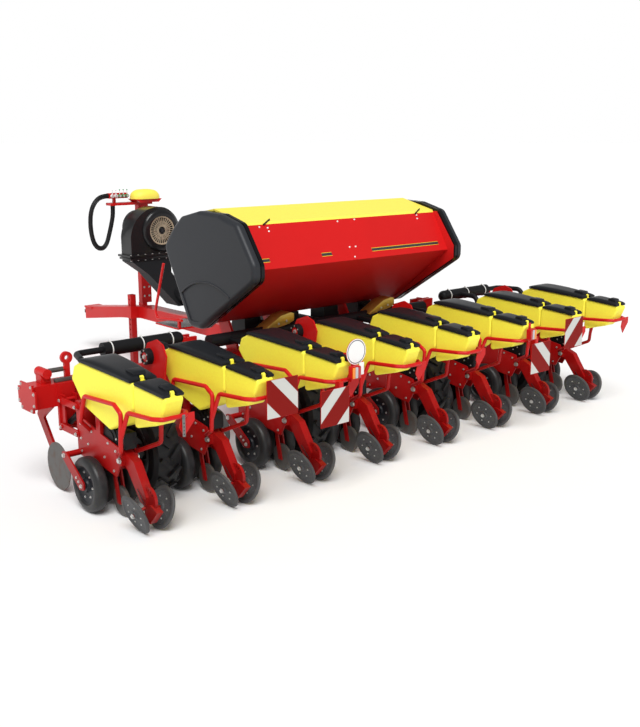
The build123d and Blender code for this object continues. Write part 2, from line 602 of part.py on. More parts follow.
def wing_frame(side):
    start = HINGE_X + HINGE_EAR_R + HINGE_GAP
    frame = box(start, WING_END_X, BEAM_BACK, BEAM_FRONT, BEAM_LOW, BEAM_TOP)
    inner = WING_END_X - END_PLATE
    frame += box(inner, WING_END_X, -END_WIDE, END_WIDE, BEAM_LOW + END_NOTCH, BEAM_TOP - END_NOTCH)
    frame += box(inner, WING_END_X, -END_NARROW, END_NARROW, BEAM_LOW - 20, BEAM_TOP + 20)
    for y0, y1 in WING_EARS:
        ear = plate([(y0, BEAM_LOW), (y1, BEAM_LOW), (y1, HINGE_Z), (y0, HINGE_Z)], start, start + 40)
        arm = box(HINGE_X, start + 60, y0, y1, HINGE_Z - HINGE_EAR_R, HINGE_Z + HINGE_EAR_R - 8)
        knuckle = rod_y(y0, y1, HINGE_X, HINGE_Z, HINGE_EAR_R)
        frame += ear + arm + knuckle
    y0, y1 = WING_EARS[0][0] - 1, WING_EARS[1][1] + 1
    frame -= rod_y(y0, y1, HINGE_X, HINGE_Z, HINGE_PIN_R + PIN_GAP)
    frame += box(POST_X - 40, POST_X + 40, -45, 45, BEAM_TOP - 1, POST_Z - 10)
    frame += rod_y(-75, 75, POST_X, POST_Z, 38)
    frame += box(EYE_X - 22, EYE_X + 22, -14, 14, BEAM_TOP - 1, EYE_Z - 20)
    frame += rod_y(-14, 14, EYE_X, EYE_Z, EYE_R)
    frame -= rod_y(-15, 15, EYE_X, EYE_Z, EYE_R - 30)
    frame += rod_x(EYE_X + 13, POST_X - 25, 0, POST_Z + 5, 17)
    frame = frame if side > 0 else mirror(frame, about=Plane.YZ)
    return frame + wheel_legs(side * abs(CARRY_X[0]))


def drawbar():
    """Box beam from the main beam to the towing ring, with the stand's socket and the step."""
    y0, y1 = BEAM_FRONT, DRAWBAR_FRONT_Y
    upper = [(y0, DRAWBAR_LOW + 80), (y0, BEAM_TOP), (700, DRAWBAR_TOP), (DRAWBAR_KNEE_Y, DRAWBAR_TOP - 20)]
    lower = [(DRAWBAR_KNEE_Y + 500, DRAWBAR_LOW - 60), (DRAWBAR_KNEE_Y, DRAWBAR_LOW), (700, DRAWBAR_LOW)]
    front = [(y1, DRAWBAR_NOSE_TOP), (y1, DRAWBAR_NOSE_LOW)]
    beam = plate(upper + front + lower, -DRAWBAR_HALF, DRAWBAR_HALF)
    beam = fillet(beam.edges().filter_by(Axis.X), 12)
    wide = DRAWBAR_HALF + 12
    nose = box(-wide, wide, y1 - 190, y1 - 2, DRAWBAR_NOSE_TOP - 8, DRAWBAR_NOSE_TOP + 14)
    shank = rod_y(DRAWBAR_FRONT_Y - 5, HITCH_Y - HITCH_R - 10, 0, HITCH_Z, 24)
    ring = Pos(0, HITCH_Y, HITCH_Z) * extrude(Circle(HITCH_OUT_R), HITCH_T / 2, both=True)
    bore = Pos(0, HITCH_Y, HITCH_Z) * extrude(Circle(HITCH_R), HITCH_T, both=True)
    socket_half, sleeve_half = STAND_SIDE / 2 + SEAT, STAND_SIDE / 2 + 14
    socket = Pos(STAND_X, STAND_Y, 670) * Box(2 * sleeve_half, 2 * sleeve_half, 140)
    socket += box(STAND_X, -DRAWBAR_HALF + 2, STAND_Y - sleeve_half, STAND_Y + sleeve_half, 600, 740)
    socket -= Pos(STAND_X, STAND_Y, 670) * Box(2 * socket_half, 2 * socket_half, 300)
    y2, y3 = TOWER_Y0 - 10, TOWER_Y0 + TOWER_D + 10
    pedestal = box(TOWER_X0, DRAWBAR_HALF, y2, y3, DRAWBAR_LOW, TOWER_FOOT)
    step = box(-480, -DRAWBAR_HALF, 1640, 2080, DRAWBAR_TOP - 40, DRAWBAR_TOP - 25)
    rail = tube([(-450, 1600, 820), (-450, 2090, 780), (-450, 2120, 860), (-450, 1920, 1390)], 15, 30)
    posts = rod_y(1640, 1660, -450, 790, 15) + box(-462, -438, 1640, 1670, DRAWBAR_TOP - 30, 815)
    return (beam + nose + shank + ring - bore) + socket + pedestal + step + rail + posts


def parking_stand():
    half = STAND_SIDE / 2
    leg = box(STAND_X - half, STAND_X + half, STAND_Y - half, STAND_Y + half, 0, STAND_TOP)
    w = half - STAND_WALL
    leg -= box(STAND_X - w, STAND_X + w, STAND_Y - w, STAND_Y + w, STAND_FOOT_T, STAND_TOP + 1)
    f = STAND_FOOT / 2
    for k in range(STAND_HOLES):
        z = STAND_TOP - 60 - k * STAND_HOLE_PITCH
        leg -= rod_x(STAND_X - half - 1, STAND_X + half + 1, STAND_Y, z, STAND_HOLE_R)
    return leg + box(STAND_X - f, STAND_X + f, STAND_Y - f, STAND_Y + f, 0, STAND_FOOT_T)


# Fertiliser hopper
HOPPER_SECTION = [(-440, HOPPER_RIM_Z), (-640, 1640), (60, HOPPER_FLOOR_Z), (220, HOPPER_FLOOR_Z),
                  (545, 1745), (400, 1925), (345, HOPPER_RIM_Z)]
CAP_SECTION = [(-500, 2010), (-728, 1690), (-728, 1560), (60, 1062), (235, 1062), (430, 1420), (605, 1750),
               (440, 1930), (320, 2025), (50, 2085), (-250, 2075)]


def hopper():
    """Steel hopper with closed ends, open on top under the lid."""
    body = plate(HOPPER_SECTION, -HOPPER_HALF, HOPPER_HALF)
    face = offset(make_face(Polyline(*HOPPER_SECTION, close=True)), -HOPPER_WALL, kind=Kind.INTERSECTION)
    inside = HOPPER_HALF - HOPPER_WALL
    body -= extrude(Plane.YZ.offset(-inside) * face, 2 * inside)
    return body - box(-inside, inside, -380, 290, 1900, 2100)


def hopper_lid():
    half = HOPPER_HALF - RUN_GAP
    t = HOPPER_LID_T
    low = HOPPER_RIM_Z + LID_GAP
    outer = [(-440, low), (-432, 2008), (-30, 2104), (335, 2036), (345, low)]
    inner = [(345 - t, low), (335 - t, 2036 - t), (-30, 2104 - t), (-432 + t, 2008 - t), (-440 + t, low)]
    return plate(outer + inner, -half, half)


def hopper_caps():
    """Moulded end covers: rounded rim, a groove round the edge and a sunk lower panel under an arc."""
    x0, x1 = HOPPER_HALF + SEAT, HOPPER_HALF + CAP_T
    outline = rounded(CAP_SECTION, CAP_CORNER)
    cap = extrude(Plane.YZ.offset(x0) * outline, x1 - x0)
    cap = fillet(cap.faces().sort_by(Axis.X)[-1].edges(), CAP_EDGE_R)
    ring = outline - offset(outline, -CAP_GROOVE_D)
    groove = extrude(Plane.YZ.offset(x0 + CAP_GROOVE_X) * ring, CAP_GROOVE_W)
    sunk = extrude(Plane.YZ.offset(x1 - CAP_SUNK) * offset(outline, -CAP_PANEL_IN), 2 * CAP_SUNK)
    arc_y, arc_z = CAP_ARC_CENTRE
    cap = cap - groove - (sunk & rod_x(x0, x1 + CAP_T, arc_y, arc_z, CAP_ARC_R))
    return [cap, mirror(cap, about=Plane.YZ)]


def fertiliser_meters():
    """Metering boxes under the hopper floor with their drive motors."""
    unit = box(-90, 90, 40, 240, 930, HOPPER_FLOOR_Z - SEAT) + rod_x(90, 150, 140, 1000, 45)
    return [Pos(x, 0, 0) * unit for x in METERS_X]


# Fan and air
def volute_line(grow):
    """Outline of the fan casing in the XZ plane, moved out by grow."""
    g = grow
    right = ThreePointArc((130 + g, OUTLET_LOW_Z), (255 + g, 1640), (60, 1915 + g))
    left = ThreePointArc((60, 1915 + g), (-260 - g * 0.7, 1840 + g * 0.7), (-390 - g, 1600))
    return [right, left, Polyline((-390 - g, 1600), (-390 - g, OUTLET_LOW_Z), (130 + g, OUTLET_LOW_Z))]


def fan_housing():
    """Volute casing with a grilled eye on the rear and the intake drum in front."""
    def block(grow, y0, y1):
        face = make_face(volute_line(grow))
        return extrude(Plane.XZ.offset(-y0) * face, -(y1 - y0))

    body = block(0, FAN_REAR_Y, FAN_FRONT_Y)
    body -= block(-FAN_WALL, FAN_REAR_Y + FAN_WALL, FAN_FRONT_Y - FAN_WALL)
    eye = rod_y(FAN_REAR_Y - 30, FAN_REAR_Y + 60, FAN_X, FAN_Z, FAN_EYE_R)
    collar = rod_y(FAN_REAR_Y - 26, FAN_REAR_Y + 2, FAN_X, FAN_Z, FAN_EYE_R + 14)
    body = body + collar - eye
    bars = rod_y(FAN_REAR_Y - 24, FAN_REAR_Y - 16, FAN_X, FAN_Z, 30)
    for k in range(12):
        spoke = box(-3, 3, FAN_REAR_Y - 24, FAN_REAR_Y - 16, 0, FAN_EYE_R + 4)
        bars += Pos(FAN_X, 0, FAN_Z) * Rot(0, k * 30, 0) * spoke
    drum = rod_y(FAN_FRONT_Y - 1, DRUM_FRONT_Y, FAN_X, FAN_Z, DRUM_R)
    drum -= rod_y(FAN_FRONT_Y - 20, DRUM_FRONT_Y - 12, FAN_X, FAN_Z, DRUM_R - 12)
    bore = rod_y(FAN_FRONT_Y - 20, FAN_FRONT_Y + 20, FAN_X, FAN_Z, FAN_SHAFT_R + PIN_GAP)
    flange = box(-425, 165, FAN_REAR_Y - 25, FAN_FRONT_Y + 25, OUTLET_LOW_Z - 22, OUTLET_LOW_Z)
    flange -= box(-384, 124, FAN_REAR_Y + 6, FAN_FRONT_Y - 6, OUTLET_LOW_Z - 30, OUTLET_LOW_Z + 1)
    return body + bars + drum + flange - bore


def fan_rotor():
    """Bladed wheel and its shaft."""
    y0, y1 = FAN_REAR_Y + 40, FAN_FRONT_Y - 30
    rotor = rod_y(y1 - 8, y1, FAN_X, FAN_Z, FAN_ROTOR_R)
    rotor += rod_y(y0 + 20, FAN_FRONT_Y + 30, FAN_X, FAN_Z, FAN_SHAFT_R)
    for k in range(12):
        blade = box(-4, 4, y0, y1, 70, FAN_ROTOR_R - 4)
        rotor += Pos(FAN_X, 0, FAN_Z) * Rot(0, k * 30, 0) * blade
    return rotor


def air_duct():
    """Funnel under the fan, the duct along the drawbar and the pipe over the centre beam."""
    top = OUTLET_LOW_Z - 22 - SEAT
    y0, y1 = FAN_REAR_Y - 10, FAN_FRONT_Y + 10
    mid = (y0 + y1) / 2
    sections = [
        Pos(-130, mid, top) * Rectangle(520, y1 - y0),
        Pos(-130, mid, top - 60) * Rectangle(500, y1 - y0),
        Pos(-100, mid - 120, 1190) * Rectangle(300, 210),
        Pos(0, mid - 480, DUCT_Z - 85) * Rectangle(220, 260),
    ]
    duct = loft(sections, ruled=True)
    run = rod_y(PIPE_Y + PIPE_R + SEAT, mid - 430, 0, DUCT_Z, 85)
    return duct, run


def centre_pipe():
    return rod_x(-CENTRE_PIPE_X, CENTRE_PIPE_X, PIPE_Y, PIPE_CENTRE_Z, PIPE_R)


def wing_pipe(side):
    pipe = rod_x(WING_PIPE_X0, WING_PIPE_X1, PIPE_Y, PIPE_WING_Z, PIPE_R)
    return pipe if side > 0 else mirror(pipe, about=Plane.YZ)


def fan_tower():
    """Post on the drawbar with the cross arm for the control box and the hose rack."""
    y = DRUM_FRONT_Y
    post = box(TOWER_X0, TOWER_X1, TOWER_Y0, TOWER_Y0 + TOWER_D, TOWER_FOOT, ARM_Z)
    arm = box(RACK_X0, COVER_X + 100, y - 30, y + 92, ARM_Z, ARM_Z + ARM_T)
    floor = ARM_Z + ARM_T - 1
    x2, x3 = COVER_X - 170, COVER_X + 170
    tray = [(x2, COVER_Z), (COVER_X - 120, floor), (COVER_X + 130, floor), (x3, COVER_Z)]
    tray = extrude(Plane.XZ.offset(-(y - 130)) * make_face(Polyline(*tray, close=True)), -200)
    uprights = box(RACK_X0 + 60, RACK_X0 + 90, y + 20, y + 50, ARM_Z + ARM_T, RACK_Z)
    rack = box(RACK_X0, RACK_X1, y + 5, y + 65, RACK_Z, RACK_Z + RACK_H)
    tower = post + arm + tray + uprights + rack
    for k in range(COUPLERS):
        x = RACK_X0 + 25 + k * (RACK_X1 - RACK_X0 - 50) / (COUPLERS - 1)
        tower += rod_y(y - 40, y + 6, x, RACK_Z + RACK_H / 2, COUPLER_R)
    return tower


def control_cover():
    """Domed cover over the control box."""
    plan = Pos(COVER_X, DRUM_FRONT_Y - 30, COVER_Z) * RectangleRounded(COVER_W, COVER_D, 70)
    dome = extrude(plan, COVER_H, taper=30)
    return fillet(dome.edges().sort_by(Axis.Z)[-8:], 22)


# Hose bundle from the rack down and back up to the arm: x, z in the plane y = HOSE_Y
HOSE_ROUTE = [(RACK_X0 - SEAT, HOSE_START_Z), (-440, HOSE_START_Z), (-530, 1965), (-578, 1860), (-592, 1735),
              (-585, 1615), (-560, 1510), (-510, 1445), (-440, 1440), (-390, 1500), (-355, 1605),
              (-322, 1715), (-295, 1825), (-295, ARM_Z - SEAT)]


def cord_tube(points, r):
    """A tube along runs joined by arcs as large as the runs allow; prints the arcs' radii."""
    points = [Vector(*point) for point in points]
    edges = []
    radii = []
    last = points[0]
    for before, corner, after in zip(points, points[1:], points[2:]):
        back, on = (before - corner), (after - corner)
        reach = 0.45 * min(back.length, on.length)
        start, end = corner + back.normalized() * reach, corner + on.normalized() * reach
        half = math.radians(back.get_angle(on)) / 2
        radius = reach * math.tan(half)
        middle = (start + end) * 0.5
        inward = (middle - corner).normalized()
        centre = corner + inward * (reach / math.cos(half))
        edges += [Line(last, start), ThreePointArc(start, centre - inward * radius, end)]
        radii.append(round(radius))
        last = end
    edges.append(Line(last, points[-1]))
    print("hose radii:", radii)
    path = Wire(edges)
    return sweep(Plane(origin=points[0], z_dir=points[1] - points[0]) * Circle(r), path=path)


def hose_bundle():
    return cord_tube([(x, HOSE_Y, z) for x, z in HOSE_ROUTE], HOSE_BUNDLE_R)


def save(name, solids):
    """Writes one node, moved from the beam's frame to the machine's frame."""
    parts = solids if isinstance(solids, list) else [solids]
    moved = [Pos(0, BEAM_Y, 0) * s for part in parts for s in part.solids()]
    export_step(Compound(children=moved), f"parts/{name}.step")


def main():
    os.makedirs("parts", exist_ok=True)
    frame = row_frame()
    arm = feed_arm()
    sections = {"left": LEFT_ROWS, "centre": CENTRE_ROWS, "right": RIGHT_ROWS}
    for name, rows in sections.items():
        pipe_z = PIPE_CENTRE_Z if name == "centre" else PIPE_WING_Z
        side = -1 if name == "left" else 1
        pipe = centre_pipe() if name == "centre" else wing_pipe(side)
        frames = [dressed_frame(frame, row) for row in rows]
        save(f"row_frames_{name}", frames + at_rows(arm, rows))
        save(f"seed_tanks_{name}", seed_tanks(rows))
        save(f"seed_lids_{name}", at_rows(main_lid(), rows))
        save(f"granule_lids_{name}", at_rows(rear_lid(), rows))
        pipe_end = CENTRE_PIPE_X if name == "centre" else WING_PIPE_X1
        hoses = [air_hose(row_x(row), pipe_z, pipe_end) for row in rows]
        for hose in hoses:
            pipe += hose
        meters = at_rows(seed_meter(), rows)
        if name == "centre":
            meters += fertiliser_meters()
        save(f"metering_{name}", [pipe] + meters)
        save(f"coulter_discs_{name}", coulter_discs(rows))
    for row in range(ROW_COUNT):
        save(f"gauge_wheels_{row + 1}", gauge_pair(row))
        save(f"press_wheel_{row + 1}_left", press_wheel(row, -1))
        save(f"press_wheel_{row + 1}_right", press_wheel(row, 1))
    for k, x in enumerate(CARRY_X):
        save(f"carrying_wheel_{k + 1}", carrying_wheel(x))
    save("centre_frame", centre_frame())
    save("wing_frame_left", wing_frame(-1))
    save("wing_frame_right", wing_frame(1))
    save("drawbar", drawbar())
    save("parking_stand", parking_stand())
    save("fertiliser_hopper", hopper())
    save("fertiliser_lid", hopper_lid())
    save("hopper_caps", hopper_caps())
    save("fan_housing", fan_housing())
    save("fan_rotor", fan_rotor())
    duct, run = air_duct()
    save("air_duct", duct + run)
    save("fan_tower", fan_tower())
    save("control_cover", control_cover())
    save("hose_bundle", hose_bundle())


if __name__ == "__main__":
    main()
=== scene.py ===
import json
import math
import bmesh
import bpy
from mathutils import Matrix, Vector


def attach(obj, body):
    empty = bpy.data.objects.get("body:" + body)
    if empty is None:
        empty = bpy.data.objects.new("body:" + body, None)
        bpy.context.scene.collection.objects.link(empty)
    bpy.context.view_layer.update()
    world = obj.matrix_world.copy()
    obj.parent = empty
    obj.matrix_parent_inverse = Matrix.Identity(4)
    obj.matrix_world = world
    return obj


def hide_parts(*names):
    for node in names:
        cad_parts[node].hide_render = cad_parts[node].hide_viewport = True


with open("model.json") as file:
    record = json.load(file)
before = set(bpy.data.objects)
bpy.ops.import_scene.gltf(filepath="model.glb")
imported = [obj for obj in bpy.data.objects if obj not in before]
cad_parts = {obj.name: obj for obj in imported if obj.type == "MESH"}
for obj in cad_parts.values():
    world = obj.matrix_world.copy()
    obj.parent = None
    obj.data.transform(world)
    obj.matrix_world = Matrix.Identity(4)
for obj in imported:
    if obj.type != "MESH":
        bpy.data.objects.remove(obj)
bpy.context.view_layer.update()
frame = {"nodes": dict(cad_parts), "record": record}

nodes = frame["nodes"]
record = frame["record"]
print("frame loaded:", len(nodes), "nodes")


# shader maths on sockets
class Wire:
    def __init__(self, tree, socket):
        self.tree = tree
        self.socket = socket

    def __add__(self, other):
        return self.tree.maths("ADD", self, other)

    def __radd__(self, other):
        return self.tree.maths("ADD", other, self)

    def __sub__(self, other):
        return self.tree.maths("SUBTRACT", self, other)

    def __rsub__(self, other):
        return self.tree.maths("SUBTRACT", other, self)

    def __mul__(self, other):
        return self.tree.maths("MULTIPLY", self, other)

    def __rmul__(self, other):
        return self.tree.maths("MULTIPLY", other, self)

    def __gt__(self, other):
        return self.tree.maths("GREATER_THAN", self, other)

    def __lt__(self, other):
        return self.tree.maths("LESS_THAN", self, other)


class Finish:
    def __init__(self, name):
        self.material = bpy.data.materials.new(name)
        self.material.use_nodes = True
        self.links = self.material.node_tree.links
        self.nodes = self.material.node_tree.nodes
        self.shader = self.nodes["Principled BSDF"]

    # one node: its type, its settings, then its sockets' values or links
    def add(self, kind, settings=None, sockets=None, out=0):
        node = self.nodes.new(kind)
        for key, value in (settings or {}).items():
            if key == "stops":
                for element, (place, colour) in zip(node.color_ramp.elements, value):
                    element.position = place
                    element.color = (*colour, 1)
            else:
                setattr(node, key, value)
        for key, value in (sockets or {}).items():
            self.feed(node.inputs[key], value)
        return Wire(self, node.outputs[out])

    def feed(self, socket, value):
        if isinstance(value, Wire):
            self.links.new(value.socket, socket)
        elif isinstance(value, tuple) and len(value) == 3 and socket.type == "RGBA":
            socket.default_value = (*value, 1)
        else:
            socket.default_value = value

    def set(self, **values):
        for key, value in values.items():
            self.feed(self.shader.inputs[key.replace("_", " ")], value)
        return self

    def maths(self, operation, first, second=0.0):
        return self.add("ShaderNodeMath", {"operation": operation}, {0: first, 1: second})

    # Object coordinates
    def place(self):
        return self.add("ShaderNodeTexCoord", out=3)

    def axis(self, index):
        return self.add("ShaderNodeSeparateXYZ", None, {0: self.place()}, out=index)

    def noise(self, scale, detail):
        sockets = {"Vector": self.place(), "Scale": scale, "Detail": detail}
        return self.add("ShaderNodeTexNoise", None, sockets)

    # 0 up to low, 1 from high on
    def ramp(self, value, low, high):
        stops = [(low, (0, 0, 0)), (high, (1, 1, 1))]
        return self.add("ShaderNodeValToRGB", {"stops": stops}, {0: value})

    # first up to low, last from high on
    def fade(self, value, low, high, first, last):
        return self.add("ShaderNodeMapRange", None, {0: value, 1: low, 2: high, 3: first, 4: last})

    # a Mix node's colours are its sockets 6 and 7, and its mixed colour is output 2
    def mix(self, factor, first, second):
        return self.add("ShaderNodeMix", {"data_type": "RGBA"}, {0: factor, 6: first, 7: second}, out=2)

    def bump(self, height, strength, distance):
        sockets = {"Height": height, "Strength": strength, "Distance": distance}
        return self.set(Normal=self.add("ShaderNodeBump", None, sockets))


# the sky: a node tree of its own with the same helpers
class Sky(Finish):
    def __init__(self, name):
        self.world = bpy.data.worlds.new(name)
        self.world.use_nodes = True
        self.links = self.world.node_tree.links
        self.nodes = self.world.node_tree.nodes
        self.shader = self.nodes["Background"]


def shade(colour, share):
    return tuple(min(1.0, c * share) for c in colour)


# paint: slow shade changes, orange peel and a thin film of dust that thickens towards the ground;
# noises are (scale, detail), bumps (strength, distance)
paintSet = {"patches": (7.0, 6.0), "patchRamp": (0.5, 0.8), "dustFade": (0.0, 0.7, 1.0, 0.05),
            "dustRough": 0.4, "dustColour": (0.30, 0.24, 0.19), "shades": (2.3, 2.0), "deeper": 0.86,
            "tipColour": (0.012, 0.012, 0.013), "peel": (95.0, 1.0), "peelBump": (0.02, 0.001), "shine": 0.2}


# beyond tip, a y in metres, the part is black; paintedShade darkens the colour towards the ground
# as painted shade, and is (low z, high z, share of the colour left at the low one)
def paintFinish(name, colour, rough, dust, coat, tip=None, paintedShade=None):
    f, s = Finish(name), paintSet
    patches = f.ramp(f.noise(*s["patches"]), *s["patchRamp"])
    film = patches * f.fade(f.axis(2), *s["dustFade"]) * dust
    tone = f.mix(f.noise(*s["shades"]), colour, shade(colour, s["deeper"]))
    # painted shade: the colour darkens from high z down to low z
    if paintedShade is not None:
        low, high, left = paintedShade
        tone = f.mix(f.fade(f.axis(2), low, high, 1.0, 0.0), tone, shade(colour, left))
    if tip is not None:
        tone = f.mix(f.axis(1) > tip, tone, s["tipColour"])
    f.set(Base_Color=f.mix(film, tone, s["dustColour"]), Roughness=rough + film * s["dustRough"],
          Coat_Weight=coat, Specular_IOR_Level=s["shine"])
    f.bump(f.noise(*s["peel"]), *s["peelBump"])
    return f.material


# moulded plastic with a fine grain
mouldedSet = {"grainDetail": 2.0, "grainRamp": (0.35, 0.65), "grainBump": (0.08, 0.002),
              "patches": (4.0, 3.0), "patchRough": 0.08}


def mouldedFinish(name, colour, rough, grain, scale, shine=0.2):
    f, s = Finish(name), mouldedSet
    speck = f.noise(scale, s["grainDetail"])
    tone = f.mix(f.ramp(speck, *s["grainRamp"]), colour, shade(colour, 1 + grain))
    f.set(Base_Color=tone, Roughness=rough + f.noise(*s["patches"]) * s["patchRough"],
          Specular_IOR_Level=shine)
    f.bump(speck, *s["grainBump"])
    return f.material


# end covers: dark grey satin face, and a blacker glossy rim next to the hopper
capSet = {"grain": (300.0, 2.0), "grainBump": (0.06, 0.002), "lighter": 1.25, "rough": 0.40, "rimGloss": 0.18,
          "shine": 0.22}


def capFinish(name, face, rim, edge):
    f, s = Finish(name), capSet
    speck = f.noise(*s["grain"])
    inner = f.maths("ABSOLUTE", f.axis(0)) < edge
    tone = f.mix(speck, face, shade(face, s["lighter"]))
    f.set(Base_Color=f.mix(inner, tone, rim), Roughness=s["rough"] - inner * s["rimGloss"],
          Specular_IOR_Level=s["shine"])
    f.bump(speck, *s["grainBump"])
    return f.material


# rubber with a fine skin and a little dust; within bare, a radius about the axle (y, z), it is dark metal
rubberSet = {"patches": (16.0, 5.0), "patchRamp": (0.5, 0.8), "patchRough": 0.1,
             "dustColour": (0.22, 0.20, 0.18), "bareColour": (0.035, 0.035, 0.038),
             "skin": (160.0, 2.0), "skinBump": (0.1, 0.001), "shine": 0.3}


def rubberFinish(name, colour, rough, dust, axle=None, bare=0.0):
    f, s = Finish(name), rubberSet
    patches = f.ramp(f.noise(*s["patches"]), *s["patchRamp"])
    tone = f.mix(patches * dust, colour, s["dustColour"])
    if axle is not None:
        dy, dz = f.axis(1) - axle[0], f.axis(2) - axle[1]
        tone = f.mix(dy * dy + dz * dz < bare * bare, tone, s["bareColour"])
    f.set(Base_Color=tone, Roughness=rough + patches * s["patchRough"], Specular_IOR_Level=s["shine"])
    f.bump(f.noise(*s["skin"]), *s["skinBump"])
    return f.material


# grey sheet with round holes on a square pitch, in metres; the holes are dark discs of painted shade
sheetSet = {"colour": (0.52, 0.52, 0.52), "holeShadeColour": (0.02, 0.02, 0.02), "pitch": 0.036, "holeR": 0.0075,
            "rough": 0.4, "metal": 0.7}


def perforatedFinish(name, s):
    f = Finish(name)
    u, v = (f.maths("PINGPONG", f.axis(i), s["pitch"] / 2) - s["pitch"] / 4 for i in (0, 1))
    # painted shade: the holes are drawn as dark, non-metal discs
    hole = u * u + v * v < s["holeR"] * s["holeR"]
    return f.set(Base_Color=f.mix(hole, s["colour"], s["holeShadeColour"]), Roughness=s["rough"],
                 Metallic=s["metal"] - hole * s["metal"]).material


# bare or plated metal with spots of rust
steelSet = {"spots": (14.0, 6.0), "spotRamp": (0.5, 0.72), "rustColour": (0.16, 0.08, 0.045),
            "rustRough": 0.3}


def steelFinish(name, colour, rough, metal, rust):
    f, s = Finish(name), steelSet
    spots = f.ramp(f.noise(*s["spots"]), *s["spotRamp"]) * rust
    return f.set(Base_Color=f.mix(spots, colour, s["rustColour"]), Roughness=rough + spots * s["rustRough"],
                 Metallic=metal).material


def plainFinish(name, colour, rough, metal=0.0, coat=0.0):
    return Finish(name).set(Base_Color=colour, Roughness=rough, Metallic=metal, Coat_Weight=coat).material


# places in metres from the main beam's centre line, the ground and the machine's middle
placeSet = {"eyeAhead": 4.520, "drawbarTip": 4.452, "tyreBehind": 0.62, "tyreHigh": 0.38,
            "rimR": 0.2, "capEdge": 1.186}
beamY = record["mounts"][0]["pos_m"][1] - placeSet["eyeAhead"]
drawbarTip = beamY + placeSet["drawbarTip"]
tyreAxle = (beamY - placeSet["tyreBehind"], placeSet["tyreHigh"])

redColour = (0.60, 0.0085, 0.0085)
finishes = {
    # painted shade: the frame's red darkens from 0.95 m down towards the ground
    "frame_red": paintFinish("frame_red_paint", redColour, rough=0.36, dust=0.12, coat=0.08,
                             paintedShade=(0.2, 0.95, 0.45)),
    # painted shade: the hopper's red darkens from 1.62 m down its lower panel
    "hopper_red": paintFinish("hopper_red_paint", redColour, rough=0.5, dust=0.04, coat=0.0,
                              paintedShade=(1.1, 1.62, 0.5)),
    "tank_yellow": mouldedFinish("tank_yellow_plastic", (0.98, 0.88, 0.070), rough=0.44, grain=0.05,
                                 scale=60.0, shine=0.35),
    "hopper_yellow": mouldedFinish("hopper_lid_plastic", (0.94, 0.78, 0.10), rough=0.45, grain=0.06,
                                   scale=60.0, shine=0.35),
    "lid_charcoal": mouldedFinish("lid_charcoal_plastic", (0.009, 0.010, 0.012), rough=0.33, grain=0.5,
                                  scale=420.0, shine=0.18),
    "cap_grey": capFinish("cap_grey_plastic", face=(0.022, 0.024, 0.028), rim=(0.004, 0.004, 0.005),
                          edge=placeSet["capEdge"]),
    "duct_black": mouldedFinish("duct_black_plastic", (0.006, 0.006, 0.007), rough=0.45, grain=0.4,
                                scale=200.0),
    "disc_steel": steelFinish("coulter_steel", (0.12, 0.115, 0.11), rough=0.5, metal=0.6, rust=0.4),
    "wheel_rubber": rubberFinish("gauge_rubber", (0.020, 0.020, 0.021), rough=0.38, dust=0.06),
    "press_wheel": rubberFinish("press_rubber", (0.060, 0.060, 0.062), rough=0.55, dust=0.15),
    "tyre_black": rubberFinish("tyre_rubber", (0.006, 0.006, 0.007), rough=0.48, dust=0.05, axle=tyreAxle,
                               bare=placeSet["rimR"]),
    "zinc_steel": steelFinish("zinc_plate", (0.55, 0.55, 0.54), rough=0.35, metal=0.85, rust=0.2),
    "fan_black": paintFinish("fan_black_paint", (0.011, 0.011, 0.012), rough=0.28, dust=0.05, coat=0.25),
    "rotor_grey": steelFinish("rotor_alloy", (0.30, 0.30, 0.30), rough=0.4, metal=0.8, rust=0.1),
    "hose_rubber": rubberFinish("hose_rubber", (0.012, 0.012, 0.013), rough=0.40, dust=0.05),
}
plain = {
    "white": plainFinish("white_film", (0.82, 0.82, 0.80), rough=0.35),
    # dark ink for print on the sign and the stripe, and painted shade in the strap's holes
    "inkAndHoleShade": plainFinish("dark_ink_and_hole_shade", (0.03, 0.03, 0.035), rough=0.4),
    "yellow": plainFinish("yellow_film", (0.85, 0.62, 0.03), rough=0.35),
    "amber": plainFinish("amber_lens", (0.80, 0.22, 0.01), rough=0.15, coat=0.6),
    "clear": plainFinish("clear_lens", (0.46, 0.46, 0.48), rough=0.12, coat=0.6),
    "redLens": plainFinish("red_lens", (0.45, 0.01, 0.01), rough=0.15, coat=0.6),
    "bolt": plainFinish("bolt_zinc", (0.62, 0.62, 0.60), rough=0.32, metal=0.8),
    "strap": plainFinish("strap_zinc", (0.20, 0.20, 0.19), rough=0.45, metal=0.6),
    "green": plainFinish("green_grip", (0.02, 0.26, 0.08), rough=0.4),
    "goldZinc": plainFinish("gold_zinc", (0.55, 0.38, 0.08), rough=0.35, metal=0.7),
    "red": finishes["frame_red"],
    "black": finishes["duct_black"],
}
slotOf = {s["node"]: s["material_slot"] for s in record["subparts"]}
for name, node in nodes.items():
    node.data.materials.clear()
    node.data.materials.append(finishes[slotOf[name]])
nodes["drawbar"].data.materials[0] = paintFinish("drawbar_paint", redColour, rough=0.36, dust=0.12, coat=0.12,
                                                 tip=drawbarTip)
print("finishes set:", len(finishes))

# from here on sizes are in millimetres, with y = 0 on the main beam's centre line;
# the wings' hinges part the rows of the left wing, the chassis and the right wing
perMetre = 1000
rowCount, rowPitch, hingeX = 8, 750.0, 1500.0
sections = {"left_wing": "left", "chassis": "centre", "right_wing": "right"}


def at(x, y, z):
    return Vector((x / perMetre, y / perMetre + beamY, z / perMetre))


def rowX(row):
    return (row - (rowCount - 1) / 2) * rowPitch


def bodyAt(x):
    return "chassis" if abs(x) < hingeX else "left_wing" if x < 0 else "right_wing"


# the centre lines of the rows that ride on a body
def rowsOn(body):
    return [rowX(row) for row in range(rowCount) if bodyAt(rowX(row)) == body]


